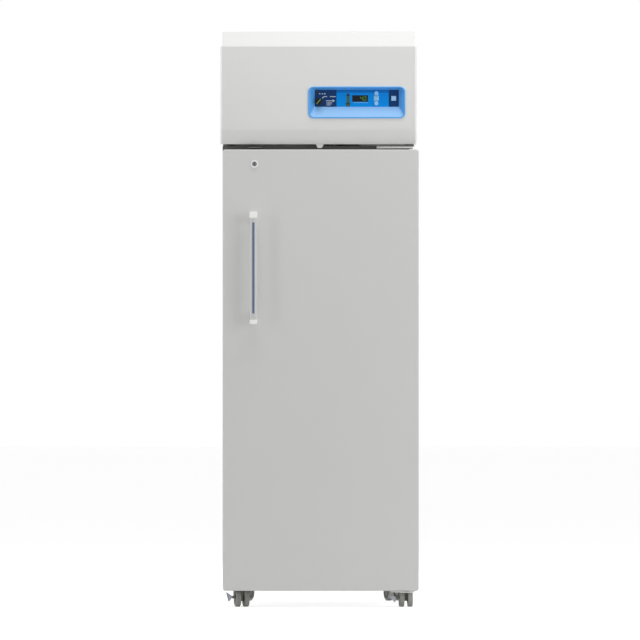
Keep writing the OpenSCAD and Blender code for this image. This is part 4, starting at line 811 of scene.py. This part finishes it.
class FRIDGE_OT_control_panel(bpy.types.Operator):
    """Blue bezel, control plate with its print, and display"""

    bl_idname = "fridge.control_panel"
    bl_label = "Control panel"

    def execute(self, context):
        plate_low, plate_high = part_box("control_faceplate")
        self.bezel(plate_low, plate_high)
        dress("faceplate_film", "control_faceplate")
        dress("display_black", "display_module")
        self.print_marks(plate_low.y)
        self.digits(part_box("display_module")[0].y)
        return {"FINISHED"}

    def bezel(self, plate_low, plate_high):
        """A rounded frame whose mouth slopes back to the plate's outline."""
        low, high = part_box("control_bezel")
        rim, outer_round, wide_round, tight_round = 4 * MM, 17 * MM, 13 * MM, 3 * MM
        mouth_low = Vector((low.x + rim, 0, low.z + rim))
        mouth_high = Vector((high.x - rim, 0, high.z - rim))
        bm = box(low, (high.x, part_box("door_skin")[0].y, high.z), outer_round, 1, corner_steps=10)
        bm.faces.ensure_lookup_table()
        back = max(bm.faces, key=lambda f: f.normal.y)
        bmesh.ops.delete(bm, geom=[back], context="FACES_ONLY")
        front = min(bm.faces, key=lambda f: f.normal.y)
        bmesh.ops.inset_region(bm, faces=[front], thickness=rim, depth=0.0, use_even_offset=True)
        made = bmesh.ops.extrude_face_region(bm, geom=[front])["geom"]
        inner = [g for g in made if isinstance(g, bmesh.types.BMVert)]
        bottom = [g for g in made if isinstance(g, bmesh.types.BMFace)]
        bmesh.ops.delete(bm, geom=[f for f in (front,) if f.is_valid], context="FACES_ONLY")

        def to_plate(value, axis):
            """Moves a point of the mouth's rounded corner to the plate's tighter one."""
            if value > (mouth_low[axis] + mouth_high[axis]) / 2:
                past = value - mouth_high[axis] + wide_round
                return plate_high[axis] - tight_round + past * tight_round / wide_round
            past = value - mouth_low[axis] - wide_round
            return plate_low[axis] + tight_round + past * tight_round / wide_round

        for vert in inner:
            vert.co = Vector((to_plate(vert.co.x, 0), plate_low.y, to_plate(vert.co.z, 2)))
        bmesh.ops.delete(bm, geom=bottom, context="FACES_ONLY")
        bevel(bm, [e for e in bm.edges if is_sharp(e, 25) and on_plane(e, 1, low.y)], 1.6 * MM, 3)
        bmesh.ops.solidify(bm, geom=bm.faces[:], thickness=1.5 * MM)
        place("bezel_moulding", bm, "fascia", "bezel_blue", ("control_bezel",))

    def print_marks(self, y):
        """Thin raised print, placed by the photo's pixels."""
        front, back = y - 0.25 * MM, y + 0.3 * MM
        fill_planes = y - 0.4 * MM, y - 0.2 * MM

        def mark(x0, x1, z_top, z_low, near=front, far=back):
            return box((picture_x(x0), near, picture_z(z_low)), (picture_x(x1), far, picture_z(z_top)))

        def shape(*corners):
            return prism([(picture_x(x), picture_z(z)) for x, z in corners], front, back)

        def disc(diameter, steps, near=front, far=back):
            """A disc of the thermometer's bulb."""
            x, z = picture_x(348.05), picture_z(104.3)
            return rod((x, near, z), (x, far, z), diameter * PIXEL, steps)

        dashes = [mark(x, x + 1.5, 93.2, 94.0) for x in (318.9, 321.6, 324.1)]
        pointer = [shape((321.9, 97.9), (323.7, 96.1), (324.3, 96.7), (322.4, 98.5)),
                   mark(323.8, 327, 96.1, 96.8), mark(329.8, 335.8, 96.1, 96.8)]
        arrow = [mark(326, 333.2, 100.3, 101.0), shape((332.6, 99.1), (335.0, 100.65), (332.6, 102.2))]
        blocks = [mark(x, x + 0.8, z, z + 0.8) for x in (326.6, 328.0, 329.4, 330.8)
                  for z in (102.1, 103.3, 104.5) if x + z < 435]
        chain = [mark(375.6, 377.2, 91.4, 105.2), mark(374.6, 378.2, 93.6, 95.2),
                 mark(373.9, 378.9, 95.6, 100.6), mark(374.4, 378.2, 101.4, 104.6)]
        dots = [mark(x, x + 1.2, z, z + 1.2) for x, z in ((315.9, 90.8), (318.1, 90.8), (315.9, 93.0))]
        stem = [mark(346.8, 349.4, 94.6, 104.0), shape((345.9, 95.4), (348.05, 92.8), (350.2, 95.4)),
                mark(345.9, 346.9, 102.6, 103.2), mark(349.2, 350.2, 102.6, 103.2)]
        fill = [mark(347.3, 348.9, 95.8, 104, *fill_planes), disc(3.0, 20, *fill_planes)]
        for name, finish, shapes in (("panel_print", "panel_print", dashes + pointer + arrow + blocks),
                                     ("key_chain", "key_blue", chain),
                                     ("panel_rule", "rule_blue", [mark(353.4, 368.1, 102.2, 102.7)]),
                                     ("thermometer_mark", "icon_dark", dots + stem + [disc(4.4, 24)]),
                                     ("thermometer_fill", "icon_olive", fill)):
            place(name, merged(shapes), "fascia", "faceplate_film", finish=finish)

    def digits(self, y):
        """Seven-bar numbers with a point between them on the display."""
        lying = {"a": (0, 2), "d": (0, 0), "g": (0, 1)}
        standing = {"b": (1, 1), "c": (1, 0), "e": (0, 0), "f": (0, 1)}
        lit = {"4": "bcfg", "0": "abcdef"}
        wide, tall, thick, pitch = 6.5 * MM, 6.0 * MM, 1.3 * MM, 11.0 * MM
        left, floor = picture_x(360.4), picture_z(100.2)
        front, back = y - 0.3 * MM, y + 0.2 * MM
        parts = []
        for index, number in enumerate("40"):
            for name in lit[number]:
                column, row = (lying | standing)[name]
                x, z = left + index * pitch + column * wide, floor + row * tall
                if name in lying:
                    parts.append(box((x + thick * 0.6, front, z - thick / 2),
                                     (x + wide - thick * 0.6, back, z + thick / 2)))
                else:
                    parts.append(box((x - thick / 2, front, z + thick * 0.3),
                                     (x + thick / 2, back, z + tall - thick * 0.3)))
        parts.append(box((left + 8.6 * MM, front, floor - thick / 2),
                         (left + 9.7 * MM, back, floor + thick / 2)))
        place("display_digits", merged(parts), "fascia", "display_black", finish="digit_green")


class FRIDGE_OT_keys(bpy.types.Operator):
    """Key switch, key and the buttons"""

    bl_idname = "fridge.keys"
    bl_label = "Keys and switch"
    key_lean = math.radians(40)  # to the right of upright, as in the photo

    def execute(self, context):
        softened("key_switch", "black_plastic", 1.2 * MM, 3)
        self.key()
        for node, icon in (("up_key", 1), ("menu_key", 0), ("down_key", -1)):
            softened(node, "key_blue", 1.1 * MM, 4)
            x, z, front, back = self.icon_place(node)
            if icon:
                half, tip = 2.6 * MM, icon * 2.4 * MM
                base = z - tip * 0.7
                mark = prism([(x - half, base), (x + half, base), (x, z + tip)], front, back)
            else:
                half, thick = 2.4 * MM, 0.4 * MM
                mark = merged([box((x - half, front, z + k * 1.7 * MM - thick),
                                   (x + half, back, z + k * 1.7 * MM + thick)) for k in (-1, 0, 1)])
            place(node + "_icon", mark, node, "key_blue", finish="rule_blue")
        softened("light_button", "key_blue", 1.4 * MM, 4)
        x, z, front, back = self.icon_place("light_button")
        glow = rod((x, front, z), (x, back, z), 7 * MM, 28)
        place("light_button_icon", glow, "light_button", "key_blue", finish="panel_print")
        return {"FINISHED"}

    def icon_place(self, node):
        """The middle of a key's face in X and Z, and the planes between which its icon lies."""
        low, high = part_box(node)
        return (low.x + high.x) / 2, (low.z + high.z) / 2, low.y - 0.12 * MM, low.y + 0.3 * MM

    def key(self):
        """The key: a round core, a shank and a rounded bow with a hole."""
        low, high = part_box("switch_key")
        x, z = (low.x + high.x) / 2, (low.z + high.z) / 2
        half = 1.2 * MM
        core_front = joint("key_turn")[0].y - 1 * MM
        depth = high.y - core_front
        core = turned([(0, 0), (5.4 * MM, 0), (6 * MM, 0.6 * MM), (6 * MM, depth), (0, depth)],
                      (x, core_front, z), Y, 32)
        lean = (Matrix.Translation((x, 0, z)) @ Matrix.Rotation(self.key_lean, 4, "Y")
                @ Matrix.Translation((-x, 0, -z)))
        shank = box((x - half, low.y + 13 * MM, z - 4 * MM), (x + half, core_front + 1 * MM, z + 4 * MM),
                    edge=0.3 * MM)
        bow = turned(mm((3, 0), (9.7, 0), (10, 0.3), (10, 2.1), (9.7, 2.4), (3, 2.4)),
                     (x - half, low.y + 10 * MM, z), X, 40, True)
        place("key_core", core, "switch_key", "bright_steel", ("switch_key",), finish="black_plastic")
        place("key_blade", moved(shank, lean), "switch_key", "bright_steel", finish="key_steel")
        place("key_bow", moved(bow, lean), "switch_key", "bright_steel", finish="key_head")


# --- inside ---


class FRIDGE_OT_interior(bpy.types.Operator):
    """Wire shelves, standards, evaporator, fan, light and probe bottle"""

    bl_idname = "fridge.interior"
    bl_label = "Interior"

    def execute(self, context):
        self.shelves()
        softened("shelf_supports", "plated_steel", 0.4 * MM, 1)
        softened("evaporator_cover", "liner_plastic", 1.2 * MM)
        softened("interior_light", "light_diffuser", 2 * MM, 3)
        dress("fin_aluminium", "evaporator_coil")
        dress("clear_bottle", "probe_bottle")
        fan("evaporator_fan")
        return {"FINISHED"}

    def shelves(self):
        """Shelves of a welded bar frame with round corners and thin wires across it."""
        low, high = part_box("shelves")
        count, pitch, bar = 5, 205 * MM, 6 * MM
        wires, wire, weld = 24, 3.4 * MM, 0.8 * MM
        left, right, front, back = low.x + bar / 2, high.x - bar / 2, low.y + bar / 2, high.y - bar / 2
        corners = ((left, front), (right, front), (left, back), (right, back))
        parts = []
        for index in range(count):
            z = low.z + index * pitch + bar / 2
            for a, b in ((0, 1), (2, 3), (0, 2), (1, 3)):
                parts.append(rod((*corners[a], z), (*corners[b], z), bar, 10))
            for x, y in corners:
                ball = bmesh.new()
                bmesh.ops.create_uvsphere(ball, u_segments=10, v_segments=6, radius=bar / 2)
                bmesh.ops.translate(ball, vec=(x, y, z), verts=ball.verts)
                parts.append(ball)
            top = z + bar / 2 + wire / 2 - weld
            for k in range(1, wires + 1):
                x = left + (right - left) * k / (wires + 1)
                parts.append(rod((x, low.y, top), (x, high.y, top), wire, 6))
        place("wire_shelves", merged(parts), "cabinet", "shelf_coating", ("shelves",), 50)


class FRIDGE_OT_machinery(bpy.types.Operator):
    """Compressor, condenser, fan, refrigerant lines and electrical box"""

    bl_idname = "fridge.machinery"
    bl_label = "Machinery"

    def execute(self, context):
        self.compressor()
        self.condenser()
        self.lines()
        softened("condenser_shroud", "plated_steel", 0.8 * MM)
        softened("electrical_box", "plated_steel", 1.5 * MM, 3)
        low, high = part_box("electrical_box")
        spots = [(x, low.y, z) for x in (low.x + 9 * MM, high.x - 9 * MM)
                 for z in (low.z + 12 * MM, high.z - 10 * MM)]
        screws("box_screws", spots, -Y, 7 * MM, "plated_steel", "bright_steel")
        fan("condenser_fan")
        return {"FINISHED"}

    def compressor(self):
        """A welded steel shell with its seam, terminal cover, service stub and feet on rubber grommets."""
        low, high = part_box("compressor")
        radius, feet = 78 * MM, 24 * MM
        base, height = low.z + feet, high.z - low.z - feet
        centre = Vector(((low.x + high.x) / 2, (low.y + high.y) / 2, base))
        seam_low, seam_high = height * 0.45, height * 0.5
        wall = ((16, 0), (8, 3 * MM), (3, 12 * MM), (3, seam_low), (0, seam_low + 1 * MM),
                (0, seam_high - 1 * MM), (3, seam_high), (3, height * 0.72), (7, height * 0.84),
                (17, height * 0.93), (34, height * 0.985))
        profile = [(0, 0), *((radius - inset * MM, level) for inset, level in wall), (0, height)]
        shell = turned(profile, centre, Z, 72)
        bm = cad_copy("compressor")
        bmesh.ops.bisect_plane(bm, geom=bm.verts[:] + bm.edges[:] + bm.faces[:],
                               plane_co=(0, 0, base - 0.01 * MM), plane_no=Z, clear_outer=True)
        bmesh.ops.holes_fill(bm, edges=[e for e in bm.edges if e.is_boundary])
        round_edges(bm, 1.2 * MM)
        place("compressor_shell", merged([shell, bm]), "cabinet", "black_enamel", ("compressor",), 40)
        cover = box((centre.x - 26 * MM, centre.y - radius - 16 * MM, base + 38 * MM),
                    (centre.x + 26 * MM, centre.y - radius + 14 * MM, base + 98 * MM),
                    5 * MM, 1, 2 * MM, 4, 3)
        place("terminal_cover", cover, "cabinet", "black_enamel", finish="black_plastic")
        stub_x = centre.x + 30 * MM
        stub = rod((stub_x, centre.y, base + height * 0.9), (stub_x, centre.y, base + height + 10 * MM),
                   7 * MM, 16, 0.6 * MM)
        collar = turned(mm((2, 0), (7, 0), (6, 3), (2, 5)), centre + Vector((30 * MM, 0, height * 0.955)),
                        Z, 24, True)
        place("service_stub", merged([stub, collar]), "cabinet", "copper_and_fins")

    def condenser(self):
        """Upright pipes that join the ends of the condenser's tubes."""
        dress("fin_aluminium", "condenser")
        low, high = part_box("condenser")
        tubes, tube_y = 5, (low.y + high.y) / 2
        floor, past = low.z + 20 * MM, 8 * MM
        pitch = (high.z - floor) / tubes
        left, right = low.x + 1 * MM, high.x - 1 * MM
        pipes = [rod((x, tube_y, floor + pitch * (first + 0.5) - past),
                     (x, tube_y, floor + pitch * (last + 0.5) + past), 9 * MM, 20, 1.5 * MM)
                 for x, first, last in ((left, 0, tubes - 1), (right, 2, tubes - 1), (right, 0, 1))]
        place("condenser_headers", merged(pipes), "cabinet", "copper_and_fins")

    def lines(self):
        """The discharge line and the liquid line as bent tubes, with the filter drier."""
        low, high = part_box("refrigerant_lines")
        comp_low, comp_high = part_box("compressor")
        cond_low, cond_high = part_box("condenser")
        size, bend = 8.2 * MM, 16 * MM
        tube_y, comp_y = (cond_low.y + cond_high.y) / 2, (comp_low.y + comp_high.y) / 2
        start, line_x, port_x = cond_high.x - 12 * MM, low.x + 12 * MM, high.x - 5 * MM
        high_z, low_z = high.z - 5 * MM, cond_low.z + 43 * MM
        discharge = pipe([(start, tube_y, high_z), (line_x, tube_y, high_z), (line_x, comp_y, high_z),
                          (port_x, comp_y, high_z), (port_x, comp_y, comp_high.z - 4 * MM)], size, bend)
        drier_y = tube_y + 90 * MM
        end_y = drier_y + 130 * MM
        liquid = pipe([(start, tube_y, low_z), (line_x, tube_y, low_z), (line_x, end_y, low_z),
                       (line_x, end_y, cond_low.z)], size, bend * 0.6)
        collar = turned(mm((3, 0), (8, 0), (7, 3), (3, 5)), (port_x, comp_y, comp_high.z - 3 * MM),
                        Z, 24, True)
        place("refrigerant_tubes", merged([discharge, liquid, collar]), "cabinet", "copper_and_fins",
              ("refrigerant_lines",), 50)
        profile = mm((3, 0), (5, 0), (6, 8), (11, 18), (12, 22), (12, 68), (11, 72), (6, 82), (5, 90),
                     (3, 90))
        drier = turned(profile, (line_x, drier_y, low_z), Y, 40, True)
        place("filter_drier", drier, "cabinet", "copper_and_fins")


class FRIDGE_OT_casters(bpy.types.Operator):
    """Caster forks, wheels and brake pedals"""

    bl_idname = "fridge.casters"
    bl_label = "Casters"

    def execute(self, context):
        for corner in ("fl", "fr", "rl", "rr"):
            softened("caster_fork_" + corner, "caster_metal", 0.8 * MM)
            self.race(corner)
            self.wheels(corner, context.scene.refrigerator_looks.wheel_edge)
        for corner in ("fl", "fr"):
            softened("brake_pedal_" + corner, "pedal_metal", 0.5 * MM)
        return {"FINISHED"}

    def race(self, corner):
        """The plated swivel race between a caster's hood and its plate."""
        centre = joint("caster_swivel_" + corner)[0]
        centre.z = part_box("caster_plates")[0].z - 1.3 * MM
        ring = turned(mm((9.2, 0), (15, 0), (16, 0.5), (15, 1.0), (9.2, 1.0)), centre, Z, 40, True)
        place("swivel_race_" + corner, ring, body_of("caster_fork_" + corner), "caster_metal",
              finish="race_metal")

    def wheels(self, corner, edge):
        """Two wheels with rounded treads, a dished outer face and a hub."""
        node = "caster_wheels_" + corner
        centre, axis = joint("wheel_spin_" + corner)
        radius, inner, outer, bore = centre.z, 4 * MM, 21 * MM, 4.05 * MM
        angles = [math.radians(18 * k) for k in range(6)]
        near = [(radius - edge + edge * math.sin(a), inner + 1.5 * MM + edge - edge * math.cos(a))
                for a in angles]
        far = [(radius - edge + edge * math.cos(a), outer - edge + edge * math.sin(a)) for a in angles]
        tread = [(17 * MM, inner + 1.5 * MM), *near, *far, (17.4 * MM, outer), (16.8 * MM, outer - 1 * MM)]
        dish = ((16.9, 1.2), (15, 1.8), (12, 2.4), (10, 1.6), (9.4, 0.4), (8.6, 0))
        disc = [(bore, inner), (9 * MM, inner), (9.6 * MM, inner + 1 * MM), (17 * MM, inner + 2 * MM),
                *((r * MM, outer - sunk * MM) for r, sunk in dish), (bore, outer)]
        for name, profile, steps, finish in (("treads_", tread, 64, "wheel_tread"),
                                             ("hubs_", disc, 48, "wheel_hub")):
            pair = merged([turned([(r, h * side) for r, h in profile], centre, axis, steps, True)
                           for side in (-1, 1)])
            place(name + corner, pair, body_of(node), "wheel_tread", (node,) if profile is tread else (),
                  finish=finish)


# --- stage ---


def lamp(name, position, target, size, power):
    data = bpy.data.lights.new(name, "AREA")
    data.shape = "RECTANGLE"
    data.size, data.size_y = size
    data.energy = power
    obj = bpy.data.objects.new(name, data)
    obj.location = position
    obj.rotation_euler = (Vector(target) - Vector(position)).to_track_quat("-Z", "Y").to_euler()
    bpy.context.scene.collection.objects.link(obj)


class FRIDGE_OT_stage(bpy.types.Operator):
    """Floor, white surroundings, lamps and camera"""

    bl_idname = "fridge.stage"
    bl_label = "Stage"

    def execute(self, context):
        scene, looks = context.scene, context.scene.refrigerator_stage
        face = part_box("door_skin")[0].y
        camera = bpy.data.cameras.new("camera")
        camera.sensor_width = 36
        camera.lens = camera.sensor_width * looks.camera_distance / looks.view_width
        viewer = bpy.data.objects.new("camera", camera)
        viewer.location = (1.2 * MM, face - looks.camera_distance, looks.camera_height)
        viewer.rotation_euler = (math.radians(90), 0, 0)
        scene.collection.objects.link(viewer)
        scene.camera = viewer
        self.floor()
        self.surroundings(scene)
        # name, position, point it looks at, width and height, watts
        for name, position, target, size, power in (
                ("right_softbox", (2.6, -2.5, 1.5), (0, face, 1.0), (1.6, 2.2), 29),
                ("left_strip", (-2.7, -2.0, 1.4), (0, face, 1.0), (0.5, 2.2), 9),
                ("top_softbox", (0.3, -1.1, 3.7), (0, -0.3, 1.0), (2.4, 1.2), 33),
                ("left_fill", (-3.2, 0.0, 1.1), (0, 0, 1.0), (1.2, 2.4), 22),
                ("right_fill", (3.2, 0.15, 1.1), (0, 0.1, 1.0), (1.2, 2.4), 15),
                ("back_softbox", (0.8, 3.4, 1.6), (0, 0.3, 1.0), (2.2, 2.2), 34)):
            lamp(name, position, target, size, power * looks.lamp_level)
        scene.view_settings.view_transform = "Standard"
        return {"FINISHED"}

    def seen(self, tree):
        """1 for rays that meet the camera, straight or by way of gloss or glass."""
        path = tree.nodes.new("ShaderNodeLightPath")
        total = path.outputs["Is Camera Ray"]
        for label in ("Is Glossy Ray", "Is Transmission Ray"):
            add = tree.nodes.new("ShaderNodeMath")
            add.operation = "MAXIMUM"
            tree.links.new(total, add.inputs[0])
            tree.links.new(path.outputs[label], add.inputs[1])
            total = add.outputs[0]
        return total

    def floor(self):
        """A pale floor that looks white to the camera and still takes shadows."""
        half_width, glow = 30, 0.62
        bm = bmesh.new()
        bmesh.ops.create_grid(bm, x_segments=1, y_segments=1, size=half_width)
        mesh = bpy.data.meshes.new("floor")
        bm.to_mesh(mesh)
        bm.free()
        floor = bpy.data.objects.new("floor", mesh)
        bpy.context.scene.collection.objects.link(floor)
        finish = Finish("floor", base_color=(0.82, 0.82, 0.82, 1), roughness=0.9, specular_ior_level=0.1,
                        emission_color=WHITE)
        finish.feed("Emission Strength", Socket(finish, self.seen(finish.tree)) * glow)
        mesh.materials.append(finish.material)

    def surroundings(self, scene):
        """White surroundings that light the object less than they show."""
        world = bpy.data.worlds.new("surroundings")
        world.use_nodes = True
        scene.world = world
        tree = world.node_tree
        background = next(n for n in tree.nodes if n.type == "BACKGROUND")
        background.inputs["Color"].default_value = WHITE
        level = tree.nodes.new("ShaderNodeMapRange")
        level.inputs["To Min"].default_value = 0.4
        level.inputs["To Max"].default_value = 1.0
        tree.links.new(self.seen(tree), level.inputs["Value"])
        tree.links.new(level.outputs["Result"], background.inputs["Strength"])


class FRIDGE_PT_looks(bpy.types.Panel):
    """Colours and sizes in the sidebar"""

    bl_idname = "FRIDGE_PT_looks"
    bl_label = "Laboratory refrigerator"
    bl_space_type = "VIEW_3D"
    bl_region_type = "UI"
    bl_category = "Refrigerator"

    def draw(self, context):
        for group in (context.scene.refrigerator_looks, context.scene.refrigerator_stage):
            for name in group.__annotations__:
                self.layout.prop(group, name)
        for operator in OPERATORS:
            self.layout.operator(operator.bl_idname)


OPERATORS = (
    FRIDGE_OT_cabinet, FRIDGE_OT_door, FRIDGE_OT_hinges, FRIDGE_OT_handle, FRIDGE_OT_lock, FRIDGE_OT_header,
    FRIDGE_OT_control_panel, FRIDGE_OT_keys, FRIDGE_OT_interior, FRIDGE_OT_machinery, FRIDGE_OT_casters,
    FRIDGE_OT_stage,
)
CLASSES = (RefrigeratorLooks, StageLooks, *OPERATORS, FRIDGE_PT_looks)


def register():
    for cls in CLASSES:
        bpy.utils.register_class(cls)
    bpy.types.Scene.refrigerator_looks = PointerProperty(type=RefrigeratorLooks)
    bpy.types.Scene.refrigerator_stage = PointerProperty(type=StageLooks)


def unregister():
    del bpy.types.Scene.refrigerator_looks
    del bpy.types.Scene.refrigerator_stage
    for cls in reversed(CLASSES):
        bpy.utils.unregister_class(cls)


def main():
    register()
    for name in ("Cube", "Light", "Camera"):
        if name in bpy.data.objects:
            bpy.data.objects.remove(bpy.data.objects[name])
    FINISHES.update(make_finishes(bpy.context.scene.refrigerator_looks))
    for operator in OPERATORS:
        group, name = operator.bl_idname.split(".")
        getattr(getattr(bpy.ops, group), name)()


if __name__ == "__main__":
    main()
